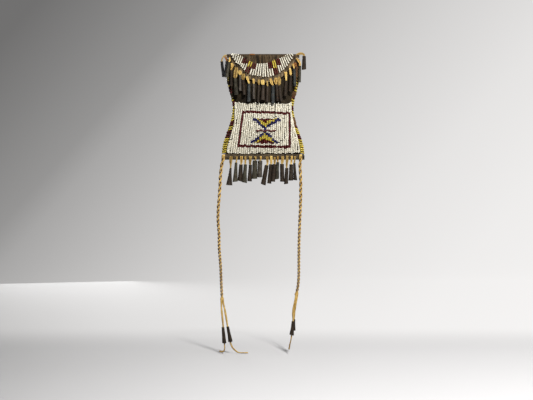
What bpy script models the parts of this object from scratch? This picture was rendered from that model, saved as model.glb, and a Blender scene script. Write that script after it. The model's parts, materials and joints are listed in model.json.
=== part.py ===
"""Strike-a-light bag: a small beaded leather belt pouch with tin-cone drops and two thong tails.

Metres, +Z up. The front faces -Y, so +X is on the right of someone who looks at the beadwork.
The origin is midway between the two belt slits, on the flat back face.
Heights on the bag are given as a drop below the top of the fold.
"""
import math

import bmesh
import bpy
from mathutils import Vector

# Overall sizes
BAG_HEIGHT = 0.1275
SLIT_DROP = 0.026
GAP = 0.0003

# Leather
PANEL_LEATHER = 0.0018
FLAP_LEATHER = 0.0016
HEM_LEATHER = 0.0012

# Outline of the pouch, as half widths at three heights
MOUTH_HALF = 0.0445
WAIST_HALF = 0.0373
FOOT_HALF = 0.0503
SHOULDER_DROP = 0.028
WAIST_DROP = 0.066
HEM_HEIGHT = 0.0062
HEM_DROP = BAG_HEIGHT - HEM_HEIGHT
HEM_CORNER = 0.001

# Fullness of the front
BULGE = 0.010
BELLY_DROP = 0.070
MOUTH_DROP = 0.006
MOUTH_FULLNESS = 0.65

# Belt slits in the back
SLIT_SPACING = 0.044
SLIT_HEIGHT = 0.038
SLIT_WIDTH = 0.0056

# Rolled beading on the side seams
ROLL_WIDTH = 0.0046
ROLL_DEPTH = 0.0042
ROLL_RIDGE = 0.0005
ROLL_WRAP = 0.0028
ROLL_SIDES = 5

# Front beadwork: upright strings that spread towards the foot
BEAD_DEPTH = 0.0017
BEAD_SEAT = 0.0004
BEAD_RIDGE = 0.0006
FIELD_TOP_DROP = 0.0585
FIELD_FOOT_GAP = 0.0008
FIELD_FOOT_DROP = HEM_DROP - FIELD_FOOT_GAP
STRING_PITCH_TOP = 0.00228
STRING_PITCH_FOOT = 0.00258
STRING_SHIFT_TOP = 0.0034
STRING_SHIFT_FOOT = 0.0007
STRINGS_EACH_SIDE = 18
FIELD_ROWS = 6

# Red border: its sides follow two strings, and its top and foot keep their distance from the field's
BORDER_STRINGS = 12
BORDER_TOP_MARGIN = 0.0111
BORDER_FOOT_MARGIN = 0.0069
BORDER_TOP_DROP = FIELD_TOP_DROP + BORDER_TOP_MARGIN
BORDER_FOOT_DROP = FIELD_FOOT_DROP - BORDER_FOOT_MARGIN
BORDER_WIDTH = 0.0024
BORDER_SKEW = 0.0019

# Hourglass
HOURGLASS_OFFSET = 0.0011
HOURGLASS_MARGIN = 0.0068
HOURGLASS_DROP = (BORDER_TOP_DROP + BORDER_FOOT_DROP) / 2 + HOURGLASS_OFFSET
HOURGLASS_REACH = (BORDER_FOOT_DROP - BORDER_TOP_DROP) / 2 - HOURGLASS_MARGIN

# Its colours, as shares of its reach: where each starts on the middle string,
# how far it steps out at each next string, and the shortest run of one colour
BLUE_START_SHARE = 0.105
BLUE_STEP_SHARE = 0.122
YELLOW_START_SHARE = 0.336
YELLOW_STEP_SHARE = 0.132
RED_START_SHARE = 0.632
RED_STEP_SHARE = 0.095
SHORTEST_RUN_SHARE = 0.072

# Flap
FLAP_SIDE_INSET = 0.0005
FLAP_HALF = MOUTH_HALF - FLAP_SIDE_INSET
FLAP_LENGTH = 0.032
FLAP_ROUNDNESS = 2.2
FLAP_CLEAR = 0.0009
FOLD_HEIGHT = 0.004
FLAP_COLUMNS = 22
FOLD_ROWS = 4
FLAP_ROWS = 3

# Bead band on the flap: its strings run from an inner curve to an outer one and crowd at its ends
BAND_MARGIN = 0.0039
BAND_SIDE_MARGIN = 0.0059
BAND_HALF = FLAP_HALF - BAND_SIDE_MARGIN
BAND_LENGTH = FLAP_LENGTH - BAND_MARGIN
BAND_REACH = 0.97
BAND_CROWDING = 0.18
BAND_INNER_DROP = 0.0113
BAND_TOP_DROP = 0.0012
BAND_INNER_REACH = 0.92
BAND_INNER_ROUNDNESS = 2.6
BAND_INNER_SHARE = 0.66
BAND_FAN = 0.25
BAND_STRINGS = 34
BAND_ROWS = 4

# Drops: a thong with a hollow tin cone on it
KNOT_RADIUS = 0.001
KNOT_WAIST = 0.0005
KNOT_TIP = 0.0009
THONG_WIDTH = 0.0022
THONG_THICKNESS = 0.0012
THROAT_RADIUS = 0.0014
MOUTH_RADIUS = 0.0026
TIN = 0.0003
CONE_PLUG_SHARE = 0.2
SIDE_GAP = 0.0005
REST_GAP = 0.0004
HOLE_INSET = 0.0014
DROP_SIDES = 7

# Flap drops from left to right: place of the hole across the flap, as a share of its half width,
# how far out the cone hangs from its hole, thong length down to the cone, cone length
FLAP_DROPS = (
    (-0.930, -0.0066, 0.0049, 0.0188),
    (-0.890, -0.0037, 0.0045, 0.0250),
    (-0.830, -0.0017, 0.0085, 0.0197),
    (-0.760, -0.0003, 0.0150, 0.0200),
    (-0.652, 0.0, 0.0066, 0.0189),
    (-0.533, 0.0, 0.0083, 0.0178),
    (-0.397, 0.0, 0.0096, 0.0221),
    (-0.261, 0.0, 0.0072, 0.0188),
    (-0.124, 0.0, 0.0078, 0.0203),
    (0.0, 0.0001, 0.0073, 0.0196),
    (0.136, 0.0, 0.0095, 0.0195),
    (0.270, 0.0, 0.0092, 0.0210),
    (0.392, 0.0, 0.0104, 0.0203),
    (0.512, 0.0, 0.0145, 0.0185),
    (0.639, 0.0, 0.0129, 0.0186),
    (0.775, 0.0, 0.0122, 0.0186),
    (0.875, 0.0013, 0.0085, 0.0217),
    (0.930, 0.0044, 0.0089, 0.0203),
)

# Corner drops, which hang outside the flap's corners: side, then how far out of the knot and below it
# the thong goes on its way to the cone, and the cone length
CORNER_KNOT_TURN = 45
CORNER_DROPS = (
    (-1, ((0.0060, 0.0056),), 0.0188),
    (1, ((0.0017, -0.0030), (0.0045, -0.0008)), 0.0179),
)

# Hem drops from left to right: hole x, thong length, cone length, sideways lean of the cone
HEM_HOLE_RISE = 0.0013
HEM_DROPS = (
    (-0.0387, 0.0120, 0.0211, -0.0019),
    (-0.0323, 0.0046, 0.0245, -0.0013),
    (-0.0269, 0.0080, 0.0202, -0.0011),
    (-0.0213, 0.0080, 0.0220, -0.0010),
    (-0.0154, 0.0083, 0.0202, -0.0010),
    (-0.0094, 0.0032, 0.0226, -0.0011),
    (-0.0029, 0.0036, 0.0194, -0.0015),
    (0.0047, 0.0097, 0.0227, -0.0030),
    (0.0099, 0.0079, 0.0232, -0.0011),
    (0.0144, 0.0082, 0.0205, -0.0005),
    (0.0185, 0.0056, 0.0200, -0.0001),
    (0.0242, 0.0075, 0.0225, -0.0008),
    (0.0295, 0.0125, 0.0189, -0.0006),
    (0.0348, 0.0082, 0.0189, -0.0007),
    (0.0394, 0.0062, 0.0203, -0.0001),
)

# Tails: two-ply twisted thongs, each with a knot, two strands and two cones
TAIL_RADIUS = 0.0017
TAIL_FOOT_RADIUS = 0.0012
TAIL_KNOT_RADIUS = 0.0024
STRAND_RADIUS = 0.0008
TAIL_CONE_THROAT = 0.0015
TAIL_CONE_MOUTH = 0.0026
TAIL_CONE_LENGTH = 0.0195
CORD_STEP = 0.0105
STRAND_STEP = 0.0054
CORD_BEVEL_STEPS = 2

# Routes in front of the bag, as x, y and drop, from the hem to the knot
LEFT_TAIL_ROUTE = (
    (-0.0478, -0.0074, 0.1234),
    (-0.0486, -0.0074, 0.1290),
    (-0.0502, -0.0074, 0.1360),
    (-0.0514, -0.0074, 0.1470),
    (-0.0526, -0.0074, 0.1676),
    (-0.0543, -0.0074, 0.1900),
    (-0.0543, -0.0074, 0.2040),
    (-0.0532, -0.0074, 0.2200),
    (-0.0530, -0.0074, 0.2366),
    (-0.0514, -0.0074, 0.2580),
    (-0.0505, -0.0074, 0.2790),
    (-0.0498, -0.0074, 0.2935),
)
RIGHT_TAIL_ROUTE = (
    (0.0456, -0.0074, 0.1234),
    (0.0452, -0.0074, 0.1290),
    (0.0448, -0.0074, 0.1370),
    (0.0456, -0.0074, 0.1530),
    (0.0455, -0.0074, 0.1780),
    (0.0448, -0.0074, 0.1960),
    (0.0438, -0.0074, 0.2200),
    (0.0434, -0.0074, 0.2440),
    (0.0432, -0.0074, 0.2680),
    (0.0424, -0.0074, 0.2800),
    (0.0412, -0.0074, 0.2875),
)
KNOT_LENGTH = 0.0060

# A tail's knot, as share of its length and share of its full radius
KNOT_SHAPE = ((0.25, 0.85), (0.5, 1.0), (0.75, 0.85), (1.0, 0.45))

# Strands, as x, y and drop, from under the knot through the cone to the tip
STRAND_ROUTES = {
    "left_tail_strand_a": (
        (-0.0502, -0.0085, 0.3000),
        (-0.0508, -0.0087, 0.3070),
        (-0.0500, -0.0090, 0.3180),
        (-0.0486, -0.0090, 0.3290),
        (-0.0468, -0.0090, 0.3520),
        (-0.0478, -0.0090, 0.3596),
        (-0.0500, -0.0086, 0.3612),
        (-0.0516, -0.0078, 0.3570),
    ),
    "left_tail_strand_b": (
        (-0.0489, -0.0063, 0.3000),
        (-0.0474, -0.0062, 0.3070),
        (-0.0448, -0.0060, 0.3180),
        (-0.0433, -0.0060, 0.3290),
        (-0.0389, -0.0060, 0.3520),
        (-0.0330, -0.0062, 0.3600),
        (-0.0280, -0.0064, 0.3622),
        (-0.0182, -0.0066, 0.3622),
    ),
    "right_tail_strand_a": (
        (0.0402, -0.0086, 0.2940),
        (0.0380, -0.0096, 0.3010),
        (0.0366, -0.0104, 0.3110),
        (0.0372, -0.0106, 0.3240),
        (0.0346, -0.0106, 0.3430),
        (0.0338, -0.0100, 0.3490),
        (0.0324, -0.0094, 0.3530),
        (0.0318, -0.0090, 0.3580),
    ),
    "right_tail_strand_b": (
        (0.0409, -0.0062, 0.2940),
        (0.0402, -0.0052, 0.3010),
        (0.0392, -0.0042, 0.3110),
        (0.0388, -0.0040, 0.3200),
        (0.0382, -0.0040, 0.3360),
        (0.0380, -0.0040, 0.3420),
    ),
}

# Cones on the strands: x, y and drop of the throat, and x of the mouth
TAIL_CONES = {
    "left_tail_cone_a": (-0.0484, -0.0090, 0.3310, -0.0468),
    "left_tail_cone_b": (-0.0429, -0.0060, 0.3305, -0.0395),
    "right_tail_cone_a": (0.0370, -0.0106, 0.3250, 0.0347),
    "right_tail_cone_b": (0.0388, -0.0040, 0.3200, 0.0383),
}

# Mesh fineness
PANEL_COLUMNS = 12
PANEL_TOP_ROWS = 4
OUTLINE_STEPS = 24
SLIT_STEPS = 12
SMOOTH_ANGLE = 35
CUTTER_REACH = 0.05

# Colours
LEATHER_DARK = (0.085, 0.070, 0.052)
LEATHER_HEM = (0.060, 0.050, 0.038)
BEAD_WHITE = (0.75, 0.72, 0.62)
BEAD_RED = (0.080, 0.006, 0.009)
BEAD_YELLOW = (0.66, 0.53, 0.07)
BEAD_BLUE = (0.009, 0.007, 0.070)
TIN_GREY = (0.075, 0.062, 0.050)
THONG_TAN = (0.62, 0.42, 0.14)

FOLD_Z = SLIT_DROP - FLAP_LEATHER / 2
HINGE_Y = -PANEL_LEATHER / 2
SEAM_DEPTH = 2 * PANEL_LEATHER + GAP
HEM_FACE = SEAM_DEPTH + GAP + HEM_LEATHER
HALF_STRING = 0.5


def height(drop):
    """Z of a point some way below the top of the fold."""
    return SLIT_DROP - drop


def ease(share):
    """0 to 1 with a level start and end."""
    share = min(1.0, max(0.0, share))
    return share * share * (3 - 2 * share)


def between(start, end, share):
    return start + (end - start) * share


def half_width(drop):
    """Half the width of the whole pouch, side beading included."""
    if drop < WAIST_DROP:
        share = (drop - SHOULDER_DROP) / (WAIST_DROP - SHOULDER_DROP)
        return between(MOUTH_HALF, WAIST_HALF, ease(share))
    share = (drop - WAIST_DROP) / (HEM_DROP - WAIST_DROP)
    return between(WAIST_HALF, FOOT_HALF, ease(share))


def panel_half(drop):
    """Half the width of the leather: it stops short of the side beading, then fills the hem."""
    widen = ease((drop - HEM_DROP - GAP) / HEM_CORNER)
    return half_width(drop) - (ROLL_WIDTH + GAP) * (1 - widen)


def fullness(x, drop):
    """How far the front stands out from its flat seams."""
    across = max(0.0, 1 - (x / (half_width(drop) - ROLL_WIDTH - GAP)) ** 2)
    if drop < BELLY_DROP:
        down = between(MOUTH_FULLNESS, 1.0, ease(drop / BELLY_DROP))
    else:
        down = max(0.0, 1 - ((drop - BELLY_DROP) / (HEM_DROP - BELLY_DROP)) ** 2)
    return BULGE * across * down


def front_depth(x, drop):
    """Depth of the front leather's outer face in front of the back face."""
    return SEAM_DEPTH + fullness(x, drop)


def string_x(string, drop):
    """Side position of a bead string, counted from the middle one."""
    share = (drop - FIELD_TOP_DROP) / (FIELD_FOOT_DROP - FIELD_TOP_DROP)
    middle = between(STRING_SHIFT_TOP, STRING_SHIFT_FOOT, share)
    return middle + string * between(STRING_PITCH_TOP, STRING_PITCH_FOOT, share)


def clear_scene():
    for old in list(bpy.data.objects):
        bpy.data.objects.remove(old, do_unlink=True)


def material(name, colour, roughness, metallic=0.0):
    made = bpy.data.materials.get(name) or bpy.data.materials.new(name)
    made.use_nodes = True
    shader = made.node_tree.nodes["Principled BSDF"]
    shader.inputs["Base Color"].default_value = (*colour, 1.0)
    shader.inputs["Roughness"].default_value = roughness
    shader.inputs["Metallic"].default_value = metallic
    made.diffuse_color = (*colour, 1.0)
    return made


def leather():
    return material("smoked_leather", LEATHER_DARK, 0.75)


def hem_leather():
    return material("hem_leather", LEATHER_HEM, 0.8)


def glass_beads(name, colour):
    return material(name, colour, 0.3)


def tin():
    return material("aged_tin", TIN_GREY, 0.5, 0.8)


def thong():
    return material("tan_thong", THONG_TAN, 0.8)


def link(name, mesh, finish):
    made = bpy.data.objects.new(name, mesh)
    bpy.context.scene.collection.objects.link(made)
    if finish:
        mesh.materials.append(finish)
    return made


def mesh_from(work, name):
    """A finished mesh from a bmesh, with its faces pointing out."""
    bmesh.ops.recalc_face_normals(work, faces=work.faces)
    mesh = bpy.data.meshes.new(name)
    work.to_mesh(mesh)
    work.free()
    return mesh


def shade_round(made):
    made.data.shade_smooth()
    made.data.set_sharp_from_angle(angle=math.radians(SMOOTH_ANGLE))


def skin(work, grid, closed=False):
    """Faces between neighbouring rows of vertices."""
    for upper, lower in zip(grid, grid[1:]):
        count = len(upper)
        last = count if closed else count - 1
        for i in range(last):
            j = (i + 1) % count
            work.faces.new((upper[i], upper[j], lower[j], lower[i]))


def slab(name, columns, rows, outer, inner, finish):
    """A closed sheet between two surfaces that share columns and rows."""
    work = bmesh.new()
    faces = []
    for surface in (outer, inner):
        grid = [[work.verts.new(surface(u, v)) for u in columns] for v in rows]
        skin(work, grid)
        faces.append(grid)
    front, back = faces
    rims = (
        (front[0], back[0]),
        (front[-1], back[-1]),
        ([row[0] for row in front], [row[0] for row in back]),
        ([row[-1] for row in front], [row[-1] for row in back]),
    )
    for rim in rims:
        skin(work, rim)
    return link(name, mesh_from(work, name), finish)


def ridged_slab(name, strings, rows, outer, inner, finish):
    """A closed layer of bead strings: each has a crest, a groove on both sides and a plain back."""
    work = bmesh.new()
    count = 2 * strings
    front = [[work.verts.new(outer(half, v)) for half in range(count + 1)] for v in rows]
    back = [[work.verts.new(inner(half, v)) for half in range(0, count + 1, 2)] for v in rows]
    skin(work, front)
    skin(work, back)
    skin(work, ([row[0] for row in front], [row[0] for row in back]))
    skin(work, ([row[-1] for row in front], [row[-1] for row in back]))
    for near, far in ((front[0], back[0]), (front[-1], back[-1])):
        for i in range(strings):
            work.faces.new(near[2 * i:2 * i + 3] + [far[i + 1], far[i]])
    return link(name, mesh_from(work, name), finish)


def steps(start, end, count):
    return [between(start, end, i / count) for i in range(count + 1)]


def prism(name, outline, reach=CUTTER_REACH):
    """A cutter with an outline of x and z points, standing through the bag from front to back."""
    work = bmesh.new()
    near = work.faces.new([work.verts.new((x, -reach, z)) for x, z in outline])
    grown = bmesh.ops.extrude_face_region(work, geom=[near])
    moved = [item for item in grown["geom"] if isinstance(item, bmesh.types.BMVert)]
    bmesh.ops.translate(work, verts=moved, vec=(0, 2 * reach, 0))
    cutter = link(name, mesh_from(work, name), None)
    cutter.hide_render = True
    cutter.display_type = "WIRE"
    return cutter


def cut(made, cutter, operation="DIFFERENCE"):
    modifier = made.modifiers.new(operation.lower(), "BOOLEAN")
    modifier.operation = operation
    modifier.solver = "EXACT"
    modifier.object = cutter


# Pouch

def slit_outline(middle):
    """A stretched slit, pointed at both ends."""
    turn = steps(0, math.pi, SLIT_STEPS)
    left = [(middle - SLIT_WIDTH / 2 * math.sin(a), SLIT_HEIGHT / 2 * math.cos(a)) for a in turn]
    right = [(middle + SLIT_WIDTH / 2 * math.sin(a), SLIT_HEIGHT / 2 * math.cos(a)) for a in turn]
    return left + right[-2:0:-1]


def field_rows():
    return steps(FIELD_TOP_DROP, FIELD_FOOT_DROP, FIELD_ROWS)


def panel_rows(top_drop):
    """Heights of a panel's rows: it bends where its beadwork does, and widens at the hem."""
    corner = HEM_DROP + GAP
    upper = steps(top_drop, FIELD_TOP_DROP, PANEL_TOP_ROWS)[:-1]
    return upper + field_rows() + [corner, corner + HEM_CORNER, BAG_HEIGHT]


def build_back_panel():
    top = SLIT_DROP - (FOLD_Z - FLAP_LEATHER / 2 - GAP)
    corner = HEM_DROP + GAP
    rows = steps(top, corner, OUTLINE_STEPS) + [corner + HEM_CORNER, BAG_HEIGHT]
    left = [(-panel_half(drop), height(drop)) for drop in rows]
    right = [(panel_half(drop), height(drop)) for drop in reversed(rows)]
    work = bmesh.new()
    face = work.faces.new([work.verts.new((x, -PANEL_LEATHER, z)) for x, z in left + right])
    grown = bmesh.ops.extrude_face_region(work, geom=[face])
    moved = [item for item in grown["geom"] if isinstance(item, bmesh.types.BMVert)]
    bmesh.ops.translate(work, verts=moved, vec=(0, PANEL_LEATHER, 0))
    panel = link("back_panel", mesh_from(work, "back_panel"), leather())
    for side in (-1, 1):
        cut(panel, prism(f"slit_cutter_{side}", slit_outline(side * SLIT_SPACING / 2)))


def build_front_panel():
    def face(share, drop, depth):
        x = share * panel_half(drop)
        return (x, -front_depth(x, drop) + depth, height(drop))

    slab(
        "front_panel",
        steps(-1, 1, PANEL_COLUMNS),
        panel_rows(MOUTH_DROP),
        lambda share, drop: face(share, drop, 0.0),
        lambda share, drop: face(share, drop, PANEL_LEATHER),
        leather(),
    )


def build_hem_strip():
    """The strip sewn over the foot of the front, which the hem thongs come out of."""
    def face(share, drop, depth):
        return (share * half_width(drop), -depth, height(drop))

    slab(
        "hem_strip",
        steps(-1, 1, PANEL_COLUMNS),
        steps(HEM_DROP + GAP, BAG_HEIGHT, 2),
        lambda share, drop: face(share, drop, HEM_FACE),
        lambda share, drop: face(share, drop, SEAM_DEPTH + GAP),
        hem_leather(),
    )


def build_edge_beading(name, side, finish):
    """Short strings wrapped round the side seam, which stand up as a ridge each."""
    top, foot = MOUTH_DROP, HEM_DROP
    wraps = round((foot - top) / ROLL_WRAP)
    work = bmesh.new()
    rings = []
    for i in range(2 * wraps + 1):
        drop = between(top, foot, i / (2 * wraps))
        lift = 0.0 if i % 2 else -ROLL_RIDGE
        middle = side * (half_width(drop) - ROLL_WIDTH / 2)
        ring = []
        for corner in range(ROLL_SIDES):
            angle = math.tau * (corner + 0.5) / ROLL_SIDES
            x = middle + (ROLL_WIDTH / 2 + lift) * math.cos(angle)
            y = -ROLL_DEPTH / 2 - GAP + (ROLL_DEPTH / 2 + lift) * math.sin(angle)
            ring.append(work.verts.new((x, y, height(drop))))
        rings.append(ring)
    skin(work, rings, closed=True)
    work.faces.new(rings[0])
    work.faces.new(rings[-1])
    link(name, mesh_from(work, name), finish)


# Front beadwork

def bead_layer(name, finish):
    """The whole front layer of strings, before it is cut to its outline."""
    strings = 2 * STRINGS_EACH_SIDE + 1

    def face(half, drop, depth):
        x = string_x(half / 2 - strings / 2, drop)
        return (x, -front_depth(x, drop) - BEAD_SEAT - depth, height(drop))

    def outer(half, drop):
        return face(half, drop, BEAD_DEPTH - (0.0 if half % 2 else BEAD_RIDGE))

    def inner(half, drop):
        return face(half, drop, 0.0)

    return ridged_slab(name, strings, field_rows(), outer, inner, finish)


def field_outline():
    rows = steps(FIELD_TOP_DROP - BORDER_WIDTH, FIELD_FOOT_DROP + BORDER_WIDTH, OUTLINE_STEPS)
    edge = [(half_width(drop) - ROLL_WIDTH - GAP, height(drop)) for drop in rows]
    return [(-x, z) for x, z in edge] + [(x, z) for x, z in reversed(edge)]


def border_outline(inset):
    """The border's outer corners, moved in by an inset: its sides follow two strings."""
    corners = []
    for string, drop, way in (
        (-BORDER_STRINGS, BORDER_TOP_DROP, 1),
        (-BORDER_STRINGS, BORDER_FOOT_DROP, -1),
        (BORDER_STRINGS, BORDER_FOOT_DROP, -1),
        (BORDER_STRINGS, BORDER_TOP_DROP, 1),
    ):
        side = math.copysign(1, string)
        at = drop + side * BORDER_SKEW / 2 + way * inset
        corners.append((string_x(string + side * HALF_STRING, at) - side * inset, height(at)))
    return corners


def stepped_outline(runs, way, inset):
    """Outline of neighbouring runs of beads: runs maps a string to its near and far distance
    from the middle of the hourglass, and way is 1 above that middle and -1 below it."""
    strings = sorted(runs)
    far, near = [], []
    for chain, pick, grow in ((far, 1, 1), (near, 0, -1)):
        reach = {s: runs[s][pick] - grow * inset for s in strings}
        for i, s in enumerate(strings):
            if i == 0:
                chain.append((s - 0.5, inset, reach[s]))
            else:
                before = strings[i - 1]
                inside_right = grow * (reach[s] - reach[before]) > 0
                shift = inset if inside_right else -inset
                chain.append((s - 0.5, shift, reach[before]))
                chain.append((s - 0.5, shift, reach[s]))
            if i == len(strings) - 1:
                chain.append((s + 0.5, -inset, reach[s]))
    points = []
    for string, shift, reach in far + near[::-1]:
        drop = HOURGLASS_DROP - way * reach
        points.append((string_x(string, drop) + shift, height(drop)))
    return points


def hourglass_runs(start, step, next_start=None, next_step=None):
    """For each string, where one colour begins and where the next colour or the base ends it."""
    runs = {}
    for string in range(-BORDER_STRINGS, BORDER_STRINGS + 1):
        near = start + step * abs(string)
        far = 1.0
        if next_start is not None:
            far = min(far, next_start + next_step * abs(string))
        if far - near > SHORTEST_RUN_SHARE:
            runs[string] = (near * HOURGLASS_REACH, far * HOURGLASS_REACH)
    return runs


def build_front_beadwork():
    half_gap = GAP / 2
    white = glass_beads("white_beads", BEAD_WHITE)
    red = glass_beads("red_beads", BEAD_RED)
    yellow = glass_beads("yellow_beads", BEAD_YELLOW)
    blue = glass_beads("blue_beads", BEAD_BLUE)
    trim = prism("field_cutter", field_outline())

    field = bead_layer("front_bead_field", white)
    cut(field, trim, "INTERSECT")
    cut(field, prism("border_room_cutter", border_outline(-half_gap)))

    border = bead_layer("border_beads", red)
    cut(border, prism("border_cutter", border_outline(half_gap)), "INTERSECT")
    cut(border, prism("border_inner_cutter", border_outline(BORDER_WIDTH - half_gap)))

    inner = bead_layer("inner_bead_field", white)
    cut(inner, prism("inner_cutter", border_outline(BORDER_WIDTH + half_gap)), "INTERSECT")

    blue_runs = hourglass_runs(BLUE_START_SHARE, BLUE_STEP_SHARE, YELLOW_START_SHARE, YELLOW_STEP_SHARE)
    yellow_runs = hourglass_runs(YELLOW_START_SHARE, YELLOW_STEP_SHARE, RED_START_SHARE, RED_STEP_SHARE)
    red_runs = hourglass_runs(RED_START_SHARE, RED_STEP_SHARE)
    whole_runs = {s: (near, HOURGLASS_REACH) for s, (near, far) in blue_runs.items()}
    waist = -BLUE_START_SHARE * HOURGLASS_REACH
    blue_runs[0] = (waist, blue_runs[0][1])
    whole_runs[0] = (waist, HOURGLASS_REACH)

    both = []
    for way, half in ((1, "upper"), (-1, "lower")):
        cut(inner, prism(f"{half}_room_cutter", stepped_outline(whole_runs, way, -half_gap)))
        both.append(prism(f"{half}_blue_cutter", stepped_outline(blue_runs, way, half_gap)))
        for colour, runs, finish in (("yellow_vee", yellow_runs, yellow), ("red_triangle", red_runs, red)):
            piece = bead_layer(f"{colour}_{half}", finish)
            shape = prism(f"{half}_{colour}_cutter", stepped_outline(runs, way, half_gap))
            cut(piece, shape, "INTERSECT")
    cut(both[0], both[1], "UNION")
    hourglass = bead_layer("blue_hourglass", blue)
    cut(hourglass, both[0], "INTERSECT")


# Flap

def flap_edge(x):
    """Drop of the flap's curved edge."""
    share = min(1.0, abs(x) / FLAP_HALF)
    return max(FOLD_HEIGHT, FLAP_LENGTH * (1 - share ** FLAP_ROUNDNESS))


def flap_point(x, drop, lift):
    """A point of the closed flap, from its middle surface: over the fold, then down the front."""
    low = max(drop, FOLD_HEIGHT)
    depth = front_depth(x, low) + FLAP_CLEAR + FLAP_LEATHER / 2
    if drop >= FOLD_HEIGHT:
        return Vector((x, -depth - lift, FOLD_Z - drop))
    over = depth + HINGE_Y
    turn = math.acos(1 - drop / FOLD_HEIGHT)
    normal = Vector((0, -math.sin(turn) / over, math.cos(turn) / FOLD_HEIGHT)).normalized()
    y = HINGE_Y - over * math.sin(turn)
    return Vector((x, y, FOLD_Z - drop)) + lift * normal


def build_flap():
    """Grows from the fold, where its axis lies, and ends in a half-round edge."""
    def face(angle, row, lift):
        x = -FLAP_HALF * math.cos(angle)
        if row < FOLD_ROWS:
            drop = FOLD_HEIGHT * (1 - math.cos(math.pi / 2 * row / FOLD_ROWS))
        else:
            share = (row - FOLD_ROWS + 1) / (FLAP_ROWS + 1)
            drop = between(FOLD_HEIGHT, flap_edge(x) + GAP, share)
        return flap_point(x, drop, lift)

    made = slab(
        "flap",
        steps(0, math.pi, FLAP_COLUMNS),
        range(FOLD_ROWS + FLAP_ROWS + 1),
        lambda angle, row: face(angle, row, FLAP_LEATHER / 2),
        lambda angle, row: face(angle, row, -FLAP_LEATHER / 2),
        leather(),
    )
    place_on_axis(made, Vector((0, HINGE_Y, FOLD_Z)))
    return made


def band_place(share, reach):
    """Side position and drop on the band: share goes across it, and reach along a string."""
    side = abs(share)
    outer_x = share * BAND_HALF
    outer_drop = BAND_LENGTH * (1 - side ** FLAP_ROUNDNESS)
    inner_x = outer_x * (BAND_INNER_SHARE + BAND_FAN * share ** 2)
    inner_drop = BAND_INNER_DROP * (1 - (side / BAND_INNER_REACH) ** BAND_INNER_ROUNDNESS)
    drop = between(max(BAND_TOP_DROP, inner_drop), max(FOLD_HEIGHT, outer_drop), reach)
    return between(inner_x, outer_x, reach), drop


def build_flap_beadwork():
    """A band of short strings that run across it, fanned round the flap's curve."""
    def face(half, row, depth):
        turn = half / BAND_STRINGS - 1
        share = turn * (BAND_REACH + BAND_CROWDING * (1 - turn ** 2))
        x, drop = band_place(share, row / BAND_ROWS)
        return flap_point(x, drop, FLAP_LEATHER / 2 + BEAD_SEAT + depth)

    def outer(half, row):
        return face(half, row, BEAD_DEPTH - (0.0 if half % 2 else BEAD_RIDGE))

    made = slab(
        "flap_beadwork",
        range(2 * BAND_STRINGS + 1),
        range(BAND_ROWS + 1),
        outer,
        lambda half, row: face(half, row, 0.0),
        glass_beads("white_beads", BEAD_WHITE),
    )
    place_on_axis(made, Vector((0, HINGE_Y, FOLD_Z)))


def place_on_axis(made, point):
    """Puts a piece's origin on its joint's axis, with its shape left where it is."""
    for vertex in made.data.vertices:
        vertex.co -= point
    made.location = point


# Drops

def ring_at(work, middle, along, wide, deep):
    """A ring of vertices across a direction that lies in the XZ plane."""
    across = Vector((along.z, 0, -along.x))
    ring = []
    for corner in range(DROP_SIDES):
        angle = math.tau * (corner + 0.5) / DROP_SIDES
        offset = across * (wide * math.cos(angle)) + Vector((0, deep * math.sin(angle), 0))
        ring.append(work.verts.new(middle + offset))
    return ring


def point_on(path, reach):
    """The point and direction at a distance along a path; before its start it runs back straight."""
    for start, end in zip(path, path[1:]):
        length = (end - start).length
        if reach <= length or end is path[-1]:
            along = (end - start).normalized()
            return start + along * reach, along
        reach -= length


def build_drop(name, path, mouth):
    """A knotted thong and the hollow cone it holds, as one piece that swings at the knot.
    The path's last stretch is the cone, and points before its throat are bends of the thong."""
    reaches = [0.0]
    for start, end in zip(path, path[1:]):
        reaches.append(reaches[-1] + (end - start).length)
    total, throat = reaches[-1], reaches[-2]
    wide, deep = THONG_WIDTH / 2, THONG_THICKNESS / 2
    side = math.sqrt(KNOT_RADIUS ** 2 - KNOT_WAIST ** 2)
    sections = [
        (*point_on(path, -KNOT_WAIST), wide + deep / 2, side),
        (*point_on(path, KNOT_WAIST), wide + deep / 2, side),
        (*point_on(path, KNOT_RADIUS), wide, deep),
    ]
    for before, bend, after in zip(path, path[1:-2], path[2:]):
        along = (bend - before).normalized() + (after - bend).normalized()
        sections.append((bend, along.normalized(), wide, deep))
    sections += [
        (*point_on(path, throat), THROAT_RADIUS, THROAT_RADIUS),
        (*point_on(path, total), mouth, mouth),
        (*point_on(path, total), mouth - TIN, mouth - TIN),
    ]
    work = bmesh.new()
    rings = []
    for middle, along, half_wide, half_deep in sections:
        flat = Vector((along.x, 0, along.z)).normalized()
        rings.append(ring_at(work, middle, flat, half_wide, half_deep))
    skin(work, rings, closed=True)
    plug = throat + (total - throat) * CONE_PLUG_SHARE
    for reach, ring in ((-KNOT_TIP, rings[0]), (plug, rings[-1])):
        tip = work.verts.new(point_on(path, reach)[0])
        for i, corner in enumerate(ring):
            work.faces.new((corner, ring[(i + 1) % DROP_SIDES], tip))
    made = link(name, mesh_from(work, name), tin())
    shade_round(made)
    place_on_axis(made, path[0])


def mouth_radius(places, i):
    """As wide as the neighbours leave room for."""
    rooms = [abs(places[i] - places[j]) for j in (i - 1, i + 1) if 0 <= j < len(places)]
    return min(MOUTH_RADIUS, (min(rooms) - SIDE_GAP) / 2)


def cover_depth(x, drop):
    """Depth of what a hanging cone rests on: bare leather or the beadwork."""
    beads = BEAD_SEAT + BEAD_DEPTH if drop > FIELD_TOP_DROP - MOUTH_RADIUS else 0.0
    return max(front_depth(x, drop) + beads, ROLL_DEPTH + 2 * GAP)


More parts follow.
